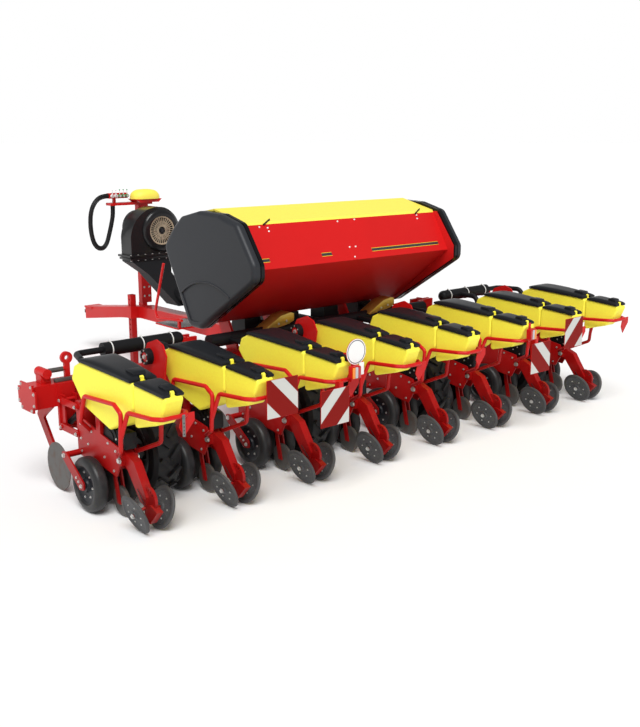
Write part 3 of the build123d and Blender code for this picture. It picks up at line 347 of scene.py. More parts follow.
# the wheels of one kind: node, middle and the axle's outward direction
def wheelsNamed(kind):
    for joint in record["behaviour"]["joints"]:
        if joint["name"].startswith(kind):
            node = joint["name"].removesuffix("_roll")
            axle = Vector(joint["axis"])
            outward = axle if axle.x * (-1 if node.endswith("left") else 1) > 0 else -axle
            yield node, Vector(joint["pos_m"]), outward


def pointing(place, direction):
    turn = Vector(direction).normalized().to_track_quat("Z", "Y")
    return Matrix.Translation(place) @ turn.to_matrix().to_4x4()


# the place of a lathe shape whose axle points to the rear
def facingRear(place):
    return pointing(place, (0, -1, 0)) @ Matrix.Rotation(-math.pi / 2, 4, "Y")


# the direction of a line at one of its points
def heading(line, i):
    return (line[min(i + 1, len(line) - 1)] - line[max(i - 1, 0)]).normalized()


def paint(verts, mat):
    for face in {f for v in verts for f in v.link_faces}:
        face.material_index = mat


def soften(bm, edges, soft):
    bmesh.ops.bevel(bm, geom=edges, offset=soft / perMetre, affect="EDGES", segments=2, profile=0.5,
                    material=-1)


def addRod(bm, start, end, radius, sides=16, mat=0):
    along = end - start
    wide = radius / perMetre
    made = bmesh.ops.create_cone(bm, cap_ends=True, segments=sides, radius1=wide, radius2=wide,
                                 depth=along.length, matrix=pointing((start + end) / 2, along))
    paint(made["verts"], mat)


# a block between two corners, given from x
def addBlock(bm, box, mat=0, soft=0.0, x=0.0):
    low, high = (at(x + a, b, c) for a, b, c in box)
    size = Matrix.Diagonal((*(high - low), 1))
    made = bmesh.ops.create_cube(bm, size=1.0, matrix=Matrix.Translation((low + high) / 2) @ size)
    paint(made["verts"], mat)
    if soft:
        soften(bm, list({e for v in made["verts"] for e in v.link_edges}), soft)


# a flat outline pushed along a vector, with soft edges
def addPlate(bm, corners, push, soft, mat=0):
    near = [bm.verts.new(c) for c in corners]
    grown = bmesh.ops.extrude_face_region(bm, geom=[bm.faces.new(near)])["geom"]
    far = [v for v in grown if isinstance(v, bmesh.types.BMVert)]
    bmesh.ops.translate(bm, verts=far, vec=Vector(push) / perMetre)
    faces = list({f for v in near + far for f in v.link_faces})
    bmesh.ops.recalc_face_normals(bm, faces=faces)
    paint(near + far, mat)
    soften(bm, list({e for f in faces for e in f.edges}), soft)


# a closed skin over rings of vertices
def skinRings(bm, rings):
    faces = []
    for near, far in zip(rings, rings[1:]):
        faces += [bm.faces.new((near[j], near[j - 1], far[j - 1], far[j])) for j in range(len(near))]
    faces += [bm.faces.new(rings[0]), bm.faces.new(rings[-1])]
    bmesh.ops.recalc_face_normals(bm, faces=faces)


# a round tube along a line of points; hint is a direction that no tube here runs along
def addTube(bm, line, radius, sides, hint=(0.31, 0.87, 0.38)):
    rings = []
    turns = [2 * math.pi * j / sides for j in range(sides)]
    for i, point in enumerate(line):
        along = heading(line, i)
        side = along.cross(Vector(hint)).normalized()
        rise = side.cross(along)
        arms = [(side * math.cos(a) + rise * math.sin(a)) * (radius / perMetre) for a in turns]
        rings.append([bm.verts.new(point + arm) for arm in arms])
    skinRings(bm, rings)


# bolt head: a hexagon with a round washer under it, in shares of the hexagon's radius
boltSet = {"washerR": 1.25, "washerTop": 0.25, "washerSides": 12, "headTop": 0.9, "headSides": 6}


def addBolt(bm, place, direction, radius, mat=0, s=boltSet):
    out = Vector(direction).normalized() * (radius / perMetre)
    top = place + out * s["washerTop"]
    addRod(bm, place, top, radius * s["washerR"], s["washerSides"], mat)
    addRod(bm, top, place + out * s["headTop"], radius, s["headSides"], mat)


# bolts in a ring on the face at x along an axle; ring is (count, ring radius, bolt radius)
def addBoltRing(bm, place, x, ring, direction, mat, first=0.0):
    count, ringR, boltR = ring
    for k in range(count):
        turn = 2 * math.pi * (k + first) / count
        spot = Vector((x, ringR * math.cos(turn), ringR * math.sin(turn))) / perMetre
        addBolt(bm, place @ spot, direction, boltR, mat)


# profile points are (along the axle, radius);
# zones are (radius, finish of the faces inside it), smallest first
def addLathe(bm, profile, place, steps, mat=0, zones=()):
    verts = [bm.verts.new((x / perMetre, 0, r / perMetre)) for x, r in profile]
    edges = [bm.edges.new(pair) for pair in zip(verts, verts[1:] + verts[:1])]
    before = set(bm.faces)
    bmesh.ops.spin(bm, geom=verts + edges, cent=(0, 0, 0), axis=(1, 0, 0), angle=2 * math.pi, steps=steps,
                   use_merge=True)
    faces = [f for f in bm.faces if f not in before]
    for face in faces:
        middle = face.calc_center_median()
        radius = math.hypot(middle.y, middle.z) * perMetre
        face.material_index = next((finish for limit, finish in zones if radius < limit), mat)
    bmesh.ops.transform(bm, matrix=place, verts=list({v for f in faces for v in f.verts}))
    bmesh.ops.recalc_face_normals(bm, faces=faces)


# a finished piece; edges sharper than this many degrees stay sharp
sharpFrom = 32


def addPiece(name, bm, finishList, body, stands=()):
    mesh = bpy.data.meshes.new(name)
    for face in bm.faces:
        face.smooth = True
    bm.to_mesh(mesh)
    bm.free()
    mesh.set_sharp_from_angle(angle=math.radians(sharpFrom))
    for finish in finishList:
        mesh.materials.append(finish)
    piece = bpy.data.objects.new(name, mesh)
    bpy.context.collection.objects.link(piece)
    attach(piece, body)
    if stands:
        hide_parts(*stands)
    return piece


# closing wheels: rubber rim, web with a ring of bolts on both faces and a hub
pressSet = {"half": [(16, 12.4), (16, 30), (14, 34), (6, 40), (5, 116), (8, 121), (12, 126), (13, 134),
                     (12, 144), (8.5, 151), (3, 155)],
            "steps": 48, "zones": [(119, 1)], "webFace": 5.0, "bolts": (6, 82.0, 5.5),
            "web": {"colour": (0.045, 0.046, 0.048), "rough": 0.5, "grain": 1.4, "scale": 190.0}}


def addPressWheels(s):
    finishList = [finishes["press_wheel"], mouldedFinish("press_web_grey", **s["web"]), plain["bolt"]]
    profile = [(-x, r) for x, r in s["half"]] + s["half"][::-1]
    for node, middle, outward in wheelsNamed("press_wheel"):
        place = Matrix.Translation(middle) @ outward.to_track_quat("X", "Z").to_matrix().to_4x4()
        bm = bmesh.new()
        addLathe(bm, profile, place, s["steps"], zones=s["zones"])
        for face in (-1, 1):
            addBoltRing(bm, place, face * s["webFace"], s["bolts"], outward * face, mat=2)
        addPiece(node + "_dressed", bm, finishList, node + "_body", [node])


addPressWheels(pressSet)
print("closing wheels made")

# gauge wheels: broad smooth tyre, black dish and bolts; the profile starts at the inner face
gaugeSet = {"profile": [(0, 16.4), (0, 160), (3, 178), (8, 190), (16, 200), (26, 206), (45, 209), (70, 210),
                        (84, 207), (96, 198), (104, 186), (109, 172), (110, 160), (108, 150), (100, 145),
                        (92, 138), (88, 130), (86, 58), (92, 52), (104, 48), (104, 16.4)],
            "inner": 72.0, "steps": 64, "zones": [(30, 2), (141, 1)], "dishFace": 87.0,
            "bolts": (7, 98.0, 7.5),
            "dish": {"colour": (0.010, 0.011, 0.014), "rough": 0.34, "grain": 0.5, "scale": 180.0}}


def addGaugeWheels(s):
    finishList = [finishes["wheel_rubber"], mouldedFinish("gauge_dish_black", **s["dish"]), plain["bolt"]]
    profile = [(x + s["inner"], r) for x, r in s["profile"]]
    for node, middle, _ in wheelsNamed("gauge_wheels"):
        bm = bmesh.new()
        for side in (-1, 1):
            place = Matrix.Translation(middle) @ Matrix.Rotation(0 if side > 0 else math.pi, 4, "Z")
            addLathe(bm, profile, place, s["steps"], zones=s["zones"])
            addBoltRing(bm, place, s["inner"] + s["dishFace"], s["bolts"], (side, 0, 0), mat=2)
        addPiece(node + "_dressed", bm, finishList, node + "_body", [node])


addGaugeWheels(gaugeSet)
print("gauge wheels made")

# striped boards: x, z of the middle and the way the stripes lean
boardSet = {"boards": [(-1760, 905, 1), (-1260, 740, -1), (1260, 740, 1), (1760, 905, -1)], "side": 282.0,
            "border": 2.0, "y": -1700.0, "film": 0.8, "sunk": 0.2, "stops": (0.44, 1.12, 1.55),
            "red": (0.21, 0.006, 0.004), "white": (0.56, 0.56, 0.53), "rough": 0.5, "shine": 0.1}


def boardFinish(name, middle, lean, s):
    f = Finish(name)
    side = s["side"] / perMetre
    d = (f.axis(0) - middle.x) * (lean / side) + (f.axis(2) - middle.z) * (1 / side) + 1.0
    first, second, third = s["stops"]
    pale = (d < first) + (d > second) * (d < third)
    return f.set(Base_Color=f.mix(pale, s["red"], s["white"]), Roughness=s["rough"],
                 Specular_IOR_Level=s["shine"]).material


def addBoards(s):
    half = s["side"] / 2 - s["border"]
    for k, (x, z, lean) in enumerate(s["boards"], 1):
        bm = bmesh.new()
        addBlock(bm, ((-half, s["y"] - s["film"], z - half), (half, s["y"] + s["sunk"], z + half)), x=x)
        finish = boardFinish(f"board_{k}_film", at(x, s["y"], z), lean, s)
        addPiece(f"board_{k}_stripes", bm, [finish], bodyAt(x))


addBoards(boardSet)

# blank round sign, and the lamps' lenses with a white plate and its red tab; a lamp's lenses go inwards
signSet = {"x": -1050, "y": -1700, "z": 1130, "r": 98.0, "film": 0.6, "sunk": 0.2, "steps": 64,
           "ring": [(0, 84), (0.4, 84), (0.4, 90), (0, 90)]}
lampSet = {"lampsX": (-1080, 1080), "lenses": 3, "lensHalf": 13.0, "lensPitch": 28.0, "lensY": (-1744, -1735),
           "lensZ": (938, 1022), "lensSoft": 3.0, "plate": ((-1030, -1714, 950), (-982, -1711, 1045)),
           "tab": ((-1044, -1711, 980), (-992, -1705, 1005)), "plateSoft": 1.0}


def addSign(s):
    bm = bmesh.new()
    front = at(s["x"], s["y"] - s["film"], s["z"])
    addRod(bm, at(s["x"], s["y"] + s["sunk"], s["z"]), front, s["r"], s["steps"])
    addLathe(bm, s["ring"], facingRear(front), s["steps"], mat=1)
    addPiece("round_sign_face", bm, [plain["white"], plain["inkAndHoleShade"]], "chassis")


def addLamps(s):
    bm = bmesh.new()
    (y0, y1), (z0, z1) = s["lensY"], s["lensZ"]
    lens = ((-s["lensHalf"], y0, z0), (s["lensHalf"], y1, z1))
    for x in s["lampsX"]:
        inward = 1 if x < 0 else -1
        for k in range(s["lenses"]):
            addBlock(bm, lens, k, s["lensSoft"], x + inward * (k - 1) * s["lensPitch"])
    addBlock(bm, s["plate"], mat=3, soft=s["plateSoft"])
    addBlock(bm, s["tab"], mat=4, soft=s["plateSoft"])
    finishList = [plain[n] for n in ("amber", "clear", "redLens", "white", "red")]
    addPiece("lamp_lenses", bm, finishList, "chassis")


addSign(signSet)
addLamps(lampSet)
print("boards, sign and lamps made")

# the hopper's rear panel from its crease to its top, as (y, z)
panelSet = {"crease": (-640, 1640), "top": (-440, 1985)}


# the crease, the way up the panel and the way out of it
def panelLines(s):
    low = Vector(s["crease"])
    up = (Vector(s["top"]) - low).normalized()
    return low, up, Vector((-up.y, up.x))


# black stripe with yellow edges on that panel, in the lengths that show
stripeSet = {"rise": 62.0, "black": 26.0, "edge": 3.5, "film": 0.6, "soft": 0.1,
             "runs": [(-1113, -999), (-430, -314), (169, 1051)]}


def addStripe(s):
    low, up, out = panelLines(panelSet)
    inner, outer = s["edge"] + s["black"], 2 * s["edge"] + s["black"]
    bands = ((0, s["edge"], 1), (s["edge"], inner, 0), (inner, outer, 1))
    bm = bmesh.new()
    for x0, x1 in s["runs"]:
        for start, end, mat in bands:
            near, far = (low + up * (s["rise"] + v) for v in (start, end))
            corners = [at(x0, *near), at(x1, *near), at(x1, *far), at(x0, *far)]
            addPlate(bm, corners, Vector((0, *out)) * s["film"], s["soft"], mat)
    addPiece("hopper_stripe", bm, [plain["inkAndHoleShade"], plain["yellow"]], "chassis")


addStripe(stripeSet)
print("hopper stripe made")

# fixings and small parts of a row unit, from its centre line; bolts are (y, z) or (y, z, radius),
# a plug is sunk into its face and stands proud of it
rowSet = {"plateX": 67.0, "plateBoltR": 8.5,
          "plateBolts": [(-452, 615), (-452, 500), (-452, 400), (-535, 625), (-620, 590), (-560, 480),
                         (-930, 368), (-965, 525), (-860, 560), (-800, 440)],
          "pivot": (-1018, 468), "pivotR": 19.0, "armX": 200.0,
          "armBolts": [(-670, 210, 13.0), (-634, 237, 9.0), (-602, 260, 9.0), (-420, 385, 15.0)],
          "linkX": 84.0, "linkPins": [(-150, 730), (-150, 520), (-400, 730), (-400, 520)], "pinR": 11.0,
          "box": ((-46, -1072, 548), (46, -938, 676)), "boxSoft": 12.0,
          "ribs": 5, "ribHalf": 50.0, "ribShare": 0.3, "ribInset": 10.0, "ribSoft": 3.0,
          "plugs": [(-1040, 575), (-1010, 640), (-960, 610)], "plugR": 13.0,
          "plugSunk": 8.0, "plugProud": 4.0,
          "quadrantRod": ((-37, -1190, 298), (-37, -1276, 214)), "quadrantRodR": 2.5,
          "ram": ((0, -150, 545), (0, -290, 640), (0, -382, 702)), "ramR": 24.0, "ramRodR": 12.0}


def addRowBolts(bm, x, side, s):
    out = (side, 0, 0)
    for y, z in s["plateBolts"]:
        addBolt(bm, at(x + side * s["plateX"], y, z), out, s["plateBoltR"])
    for y, z in s["linkPins"]:
        addBolt(bm, at(x + side * s["linkX"], y, z), out, s["pinR"])
    for y, z, r in s["armBolts"]:
        addBolt(bm, at(x + side * s["armX"], y, z), out, r)
    addBolt(bm, at(x + side * s["plateX"], *s["pivot"]), out, s["pivotR"])
    for y, z in s["plugs"]:
        face = x + side * s["ribHalf"]
        end = at(face + side * s["plugProud"], y, z)
        addRod(bm, at(face - side * s["plugSunk"], y, z), end, s["plugR"], mat=1)
        addBolt(bm, end, out, s["plugR"] / 2)


def addRowUnit(bm, x, s):
    for side in (-1, 1):
        addRowBolts(bm, x, side, s)
    addBlock(bm, s["box"], mat=1, soft=s["boxSoft"], x=x)
    (_, y0, z0), (_, y1, z1) = s["box"]
    pitch = (y1 - y0) / s["ribs"]
    for k in range(s["ribs"]):
        rear = y0 + (k + s["ribShare"]) * pitch
        front = rear + pitch * s["ribShare"]
        rib = ((-s["ribHalf"], rear, z0 + s["ribInset"]), (s["ribHalf"], front, z1 - s["ribInset"]))
        addBlock(bm, rib, mat=1, soft=s["ribSoft"], x=x)
    start, end = (at(x + a, b, c) for a, b, c in s["quadrantRod"])
    addRod(bm, start, end, s["quadrantRodR"], sides=12, mat=1)
    foot, neck, head = (at(x + a, b, c) for a, b, c in s["ram"])
    addRod(bm, foot, neck, s["ramR"], sides=24, mat=1)
    addRod(bm, neck, head, s["ramRodR"], sides=20)


def addRowFixings(s):
    for body in sections:
        bm = bmesh.new()
        for x in rowsOn(body):
            addRowUnit(bm, x, s)
        addPiece(body + "_row_fixings", bm, [plain["bolt"], plain["black"]], body)


addRowFixings(rowSet)

# tank lids: arched covers with soft edges, a notch for the tank's catch and a raised grip;
# front and rear are (y, z) of the lid's foot, plan is (y, half width), notch is (half width, depth)
lidSet = {"kinds": {"seed": {"front": (-632, 1131.05), "rear": (-1273, 1087.0),
                             "arch": 13.0, "grip": 122.0},
                    "granule": {"front": (-1321, 1083.05), "rear": (-1646, 1052.75),
                                "arch": 6.0, "grip": 96.0}},
          "plan": ((-508, 158), (-1670, 80)), "wall": 15.0, "thick": 31.0, "notch": (26.0, 34.0),
          "slack": 1.0, "across": 32, "along": 48, "frontPower": 7.0, "rearPower": 16.0, "sidePower": 7.0,
          "gripHalf": 0.46, "gripRise": 32.0, "gripGap": 6.0, "gripSunk": 4.0, "gripLean": 6.0,
          "gripNose": 26.0, "gripLift": 6.0, "gripSoft": 6.0}


def lidHalf(y):
    (y0, half0), (y1, half1) = lidSet["plan"]
    return half0 + (half1 - half0) * (y - y0) / (y1 - y0)


# places across the lid from -1 to 1, with a place on each side of the notch
def lidShares(half, s):
    shares = [math.sin(math.pi / 2 * (2 * k / s["across"] - 1)) for k in range(s["across"] + 1)]
    cut = s["notch"][0] / half
    low = min(range(len(shares)), key=lambda i: abs(shares[i] + cut))
    shares[low], shares[-1 - low] = -cut, cut
    return shares


# the top is a grid of vertices from b = 1 at the front to -1 at the rear,
# and a copy of it lies at the lid's foot
def addLidShell(bm, x, kind, s):
    (y0, z0), (y1, z1) = kind["front"], kind["rear"]
    notchHalf, notchDeep = s["notch"]
    notchStop = 2 * notchDeep / (y0 - y1) - 1
    stops = {math.cos(math.pi * k / s["along"]) for k in range(s["along"] + 1)} | {notchStop}
    rows, footOf = [], {}
    for b in sorted(stops, reverse=True):
        y = (y0 + y1) / 2 + b * (y0 - y1) / 2
        foot = (z0 + z1) / 2 + b * (z0 - z1) / 2
        half = lidHalf(y)
        shares = lidShares(half, s)
        end = (1 - abs(b) ** s["frontPower" if b > 0 else "rearPower"]) ** 0.5
        rise = s["thick"] + kind["arch"] * (1 - b * b) - s["wall"]
        tops = [s["wall"] + rise * end * (1 - abs(a) ** s["sidePower"]) ** 0.5 for a in shares]
        line = [bm.verts.new(at(x + a * half, y, foot + h)) for a, h in zip(shares, tops)]
        footOf.update({v.co.copy().freeze(): foot / perMetre for v in line})
        rows.append((line, b, shares))
    faces = []
    for (near, b, shares), (far, *_) in zip(rows, rows[1:]):
        for k in range(s["across"]):
            middle = abs(shares[k] + shares[k + 1]) / 2 * lidHalf(y1)
            if b > notchStop or middle > notchHalf + s["slack"]:
                faces.append(bm.faces.new((near[k], near[k + 1], far[k + 1], far[k])))
    grown = bmesh.ops.extrude_face_region(bm, geom=faces, use_keep_orig=True)["geom"]
    under = [v for v in grown if isinstance(v, bmesh.types.BMVert)]
    for v in under:
        v.co.z = footOf[v.co.copy().freeze()]
    loose = [v for line, *_ in rows for v in line if not v.link_faces]
    bmesh.ops.delete(bm, geom=loose, context="VERTS")
    bmesh.ops.recalc_face_normals(bm, faces=list({f for v in under for f in v.link_faces} | set(faces)))


def addLidGrip(bm, x, kind, s):
    (y0, z0), (y1, z1) = kind["front"], kind["rear"]
    slope = (z0 - z1) / (y0 - y1)
    rear = y1 + s["notch"][1] + s["gripGap"]
    nose = rear + kind["grip"]
    half = s["gripHalf"] * lidHalf(rear)
    foot = z1 + (rear - y1) * slope + s["thick"] - s["gripSunk"]
    top = foot + s["gripRise"]
    outline = [(rear, foot), (rear + s["gripLean"], top), (nose - s["gripNose"], top + s["gripLift"]),
               (nose, foot + slope * kind["grip"])]
    addPlate(bm, [at(x - half, y, z) for y, z in outline], (2 * half, 0, 0), s["gripSoft"])


def addLids(s):
    for body, side in sections.items():
        for kind, shape in s["kinds"].items():
            bm = bmesh.new()
            for x in rowsOn(body):
                addLidShell(bm, x, shape, s)
                addLidGrip(bm, x, shape, s)
            node = f"{kind}_lids_{side}"
            addPiece(node + "_dressed", bm, [finishes["lid_charcoal"]], node + "_body",
                     [node])


addLids(lidSet)
print("lids made")

# nuts on the closing wheels' axle ends
axleSet = {"end": 21.5, "nutR": 15.0}


def addAxleNuts(s):
    made = {body: bmesh.new() for body in sections}
    for _, middle, outward in wheelsNamed("press_wheel"):
        end = middle + outward * s["end"] / perMetre
        addBolt(made[bodyAt(end.x * perMetre)], end, outward, s["nutR"])
    for body, bm in made.items():
        addPiece(body + "_axle_nuts", bm, [plain["bolt"]], body)


addAxleNuts(axleSet)
print("row fixings made")

# wheel leg hubs: a black ring round a red face, with bolts
hubSet = {"wheels": (-2250, -750, 750, 2250), "face": 99.0, "y": -500.0, "z": 1050.0, "steps": 48,
          "ring": [(-6, 40), (-6, 58), (-1, 63.6), (44, 63.6), (44, 62.1), (-0.2, 62.1), (-0.2, 40)],
          "ringFace": -6.0, "bolts": (6, 49.0, 5.5), "nutR": 15.0}


def addHubs(s):
    for x in s["wheels"]:
        side, word = (-1, "left") if x < 0 else (1, "right")
        middle = at(x - side * s["face"], s["y"], s["z"])
        place = Matrix.Translation(middle) @ Matrix.Rotation(0 if side < 0 else math.pi, 4, "Z")
        bm = bmesh.new()
        addLathe(bm, s["ring"], place, s["steps"])
        addBoltRing(bm, place, s["ringFace"], s["bolts"], (side, 0, 0), mat=1, first=0.5)
        addBolt(bm, middle, (side, 0, 0), s["nutR"], mat=1)
        addPiece(f"leg_hub_{word}_{abs(x)}", bm, [plain["black"], plain["bolt"]], bodyAt(x))


addHubs(hubSet)

# white straps with buckles round the wing pipes, the pipes' end caps and the fittings on the wing ends
wingSet = {"pipe": (-165, 1075), "capX": 1644, "capR": 55.7, "clips": (1712, 1985, 2262), "steps": 48,
           "clip": [(-4, 56.3), (-4, 60.5), (4, 60.5), (4, 56.3)],
           "buckle": ((-6, -175, 1135), (6, -157, 1145)), "buckleSoft": 2.0,
           "sleeve": (2592, 2712), "sleeveAt": (0, 935), "sleeveR": 19.0,
           "barX": 2620, "bar": ((-70, -70, 850), (70, -34, 878)), "barSoft": 4.0,
           "endX": 2900, "endBoltR": 10.0,
           "endBolts": [(-130, 715), (-130, 805), (130, 715), (130, 805), (-85, 668), (85, 668), (-85, 852),
                        (85, 852)]}


def addWingFittings(s):
    finishList = [plain["white"], finishes["disc_steel"], plain["bolt"], plain["black"]]
    for side, body in ((-1, "left_wing"), (1, "right_wing")):
        bm = bmesh.new()
        for x in s["clips"]:
            addLathe(bm, s["clip"], Matrix.Translation(at(side * x, *s["pipe"])), s["steps"])
            addBlock(bm, s["buckle"], soft=s["buckleSoft"], x=side * x)
        cap = Matrix.Translation(at(side * s["capX"], *s["pipe"]))
        made = bmesh.ops.create_uvsphere(bm, u_segments=32, v_segments=16,
                                         radius=s["capR"] / perMetre, matrix=cap)
        paint(made["verts"], 3)
        start, end = (at(side * x, *s["sleeveAt"]) for x in s["sleeve"])
        addRod(bm, start, end, s["sleeveR"], sides=24, mat=1)
        addBlock(bm, s["bar"], mat=1, soft=s["barSoft"], x=side * s["barX"])
        for y, z in s["endBolts"]:
            addBolt(bm, at(side * s["endX"], y, z), (side, 0, 0), s["endBoltR"], mat=2)
        addPiece(body + "_fittings", bm, finishList, body)


addWingFittings(wingSet)
print("wing fittings made")

# perforated strap on the first row's rear bow, with its holes as dark discs of painted shade
strapSet = {"row": 0, "x": 62.0, "strap": ((-11, -1664.5, 772), (11, -1661, 924)), "soft": 1.0,
            "holes": (790, 815, 840, 865), "holeR": 5.0, "holeY": (-1665, -1661),
            "boltY": -1664.5, "boltZ": 905, "boltR": 8.0}


def addStrap(s):
    x = rowX(s["row"]) + s["x"]
    bm = bmesh.new()
    addBlock(bm, s["strap"], soft=s["soft"], x=x)
    # painted shade: the holes are dark discs standing proud of the strap
    for z in s["holes"]:
        start, end = (at(x, y, z) for y in s["holeY"])
        addRod(bm, start, end, s["holeR"], mat=1)
    addBolt(bm, at(x, s["boltY"], s["boltZ"]), (0, -1, 0), s["boltR"])
    addPiece("bow_strap", bm, [plain["strap"], plain["inkAndHoleShade"]], bodyAt(x))


addStrap(strapSet)

# hopper fixings: rivets (x, rise up the rear panel from the crease), the lid's rubber latches
# and a thin red flange against each end cap
hopperSet = {"rivets": [(-988, 378), (-905, 366), (-905, 334), (-117, 377), (91, 384), (901, 380), (892, 344),
                        (-85, 124), (-13, 124), (-64, 29)], "rivetR": 6.5,
             "latches": (-903, 924), "latch": ((-40, -449, 1984), (44, -424, 2024)), "latchR": 6.5,
             "hook": (0, 12, -12), "flangeX": 1146, "flangeThick": 4, "flangeSoft": 1.0,
             "flange": [(-486, 1996), (-714, 1686), (-714, 1564), (57, 1078), (232, 1078), (417, 1424),
                        (588, 1748), (430, 1915), (335, 1996)]}


def addHopperFixings(s):
    low, up, out = panelLines(panelSet)
    bm = bmesh.new()
    for x, rise in s["rivets"]:
        addBolt(bm, at(x, *(low + up * rise)), (0, *out), s["rivetR"])
    addPiece("hopper_rivets", bm, [plain["white"]], "chassis")
    bm = bmesh.new()
    for x in s["latches"]:
        start, end = (at(x + a, b, c) for a, b, c in s["latch"])
        addRod(bm, start, end, s["latchR"])
        addRod(bm, end, end + Vector(s["hook"]) / perMetre, s["latchR"])
    addPiece("hopper_latches", bm, [plain["black"]], "fertiliser_lid_body")
    bm = bmesh.new()
    for side in (-1, 1):
        corners = [at(side * s["flangeX"], y, z) for y, z in s["flange"]]
        addPlate(bm, corners, (side * s["flangeThick"], 0, 0), s["flangeSoft"])
    addPiece("hopper_end_flanges", bm, [finishes["hopper_red"]], "chassis")


addHopperFixings(hopperSet)
print("hopper fixings made")

# gold zinc chutes under the hopper: (x, z) outline from each chute's right-hand end, between two y planes
chuteSet = {"ends": (-440, 840), "y": (-235, -95), "soft": 4.0,
            "outline": [(0, 1085), (-60, 1060), (-330, 1020), (-350, 1035), (-150, 1145), (-40, 1165),
                        (0, 1150)],
            "bracket": ((-200, -97, 1050), (-176, 42, 1080)), "bracketSoft": 2.0,
            "bolts": [(-90, 1092), (-180, 1074)], "boltR": 9.0}


def addChutes(s):
    bm = bmesh.new()
    y0, y1 = s["y"]
    for end in s["ends"]:
        addPlate(bm, [at(end + x, y0, z) for x, z in s["outline"]], (0, y1 - y0, 0), s["soft"])
        addBlock(bm, s["bracket"], mat=2, soft=s["bracketSoft"], x=end)
        for x, z in s["bolts"]:
            addBolt(bm, at(end + x, y0, z), (0, -1, 0), s["boltR"], mat=1)
    addPiece("hopper_chutes", bm, [plain["goldZinc"], plain["bolt"], plain["black"]], "chassis")


addChutes(chuteSet)

# fan: domed inlet cover, beige ring grille and the outlet flange's bolts, in rows of (y, z, up or down)
fanSet = {"eye": (0, 2680, 1660), "steps": 64,
          "dome": [(0, 238), (10, 237), (24, 228), (35, 208), (41, 186), (43, 166), (22, 166), (0, 166)],
          "rim": [(26, 146), (33, 148), (34, 156), (31, 163), (26, 163)],
          "rings": [(44, 50), (96, 101)], "ringSteps": 48,
          "slats": 32, "slatHalf": 3.2, "slatR": (46, 150), "slatX": (25, 30), "hubR": 20.0, "hubProud": 3.0,
          "boltsX": (-405, 145), "boltCount": 7, "boltRows": [(2667, 1400, 1), (2671, 1344, -1)],
          "boltR": 8.0, "band": ((-412, 2661, 1344), (152, 2919, 1370)), "bandSoft": 3.0,
          "beige": {"colour": (0.42, 0.34, 0.24), "rough": 0.5, "grain": 0.2, "scale": 220.0}}


def addGrille(bm, place, s):
    (x0, x1), (r0, r1) = s["slatX"], s["slatR"]
    for low, high in s["rings"]:
        addLathe(bm, [(x0, low), (x1, low), (x1, high), (x0, high)], place, s["ringSteps"], mat=1)
    middle = Vector(((x0 + x1) / 2, 0, (r0 + r1) / 2)) / perMetre
    size = Vector((x1 - x0, 2 * s["slatHalf"], r1 - r0)) / perMetre
    slat = Matrix.Translation(middle) @ Matrix.Diagonal((*size, 1))
    for k in range(s["slats"]):
        turn = Matrix.Rotation(2 * math.pi * k / s["slats"], 4, "X")
        made = bmesh.ops.create_cube(bm, size=1.0, matrix=place @ turn @ slat)
        paint(made["verts"], 1)
    back, front = (place @ Vector((x / perMetre, 0, 0)) for x in (x0, x1 + s["hubProud"]))
    addRod(bm, back, front, s["hubR"], sides=32)


def addFan(s):
    place = facingRear(at(*s["eye"]))
    bm = bmesh.new()
    addLathe(bm, s["dome"], place, s["steps"])
    addLathe(bm, s["rim"], place, s["steps"], mat=1)
    addGrille(bm, place, s)
    first, last = s["boltsX"]
    for k in range(s["boltCount"]):
        x = first + k * (last - first) / (s["boltCount"] - 1)
        for y, z, way in s["boltRows"]:
            addBolt(bm, at(x, y, z), (0, 0, way), s["boltR"], mat=2)
    addBlock(bm, s["band"], soft=s["bandSoft"])
    finishList = [finishes["fan_black"], mouldedFinish("grille_beige", **s["beige"]), plain["bolt"]]
    addPiece("fan_cover", bm, finishList, "chassis")


addFan(fanSet)
print("fan cover made")

# moulded bead along the arc of the end covers, as (y, z) centre, radius and the span of y
beadSet = {"centre": (-60, 850), "r": 640.0, "span": (332, -392), "x": 1263.0, "steps": 24,
           "beadR": 9.0, "sides": 12}


def addBeads(s):
    bm = bmesh.new()
    cy, cz = s["centre"]
    y0, y1 = s["span"]
    ys = [y0 + (y1 - y0) * k / s["steps"] for k in range(s["steps"] + 1)]
    for side in (-1, 1):
        line = [at(side * s["x"], y, cz + math.sqrt(s["r"] ** 2 - (y - cy) ** 2)) for y in ys]
        addTube(bm, line, s["beadR"], s["sides"])
    addPiece("cap_beads", bm, [finishes["cap_grey"]], "chassis")


addBeads(beadSet)

# smooth dome for the control box, with a lip round its foot; power squares its plan, swell its sides,
# and tip is the share of the plan left at the top
domeSet = {"middle": (95, 3160, 1992), "half": (175, 125), "height": 110.0, "lip": 14.0, "power": 2.6,
           "swell": 0.62, "tip": 0.001, "rings": 14, "steps": 64}


# height above the foot and share of the plan at each ring
def domeLevels(s):
    yield 0, 1
    for k in range(s["rings"]):
        turn = math.pi / 2 * k / (s["rings"] - 1)
        rise = s["lip"] + (s["height"] - s["lip"]) * math.sin(turn)
        yield rise, max(s["tip"], math.cos(turn)) ** s["swell"]


def squared(value, power):
    return math.copysign(abs(value) ** (2 / power), value)


def addDome(s):
    x, y, z = s["middle"]
    halfX, halfY = s["half"]
    bm = bmesh.new()
    turns = [-2 * math.pi * j / s["steps"] for j in range(s["steps"])]
    across = [squared(math.cos(a), s["power"]) * halfX for a in turns]
    deep = [squared(math.sin(a), s["power"]) * halfY for a in turns]
    rings = []
    for rise, size in domeLevels(s):
        spots = [at(x + a * size, y + d * size, z + rise) for a, d in zip(across, deep)]
        rings.append([bm.verts.new(spot) for spot in spots])
    skinRings(bm, rings)
    addPiece("control_dome", bm, [finishes["hopper_yellow"]], "chassis",
             ["control_cover"])


addDome(domeSet)
print("beads and dome made")

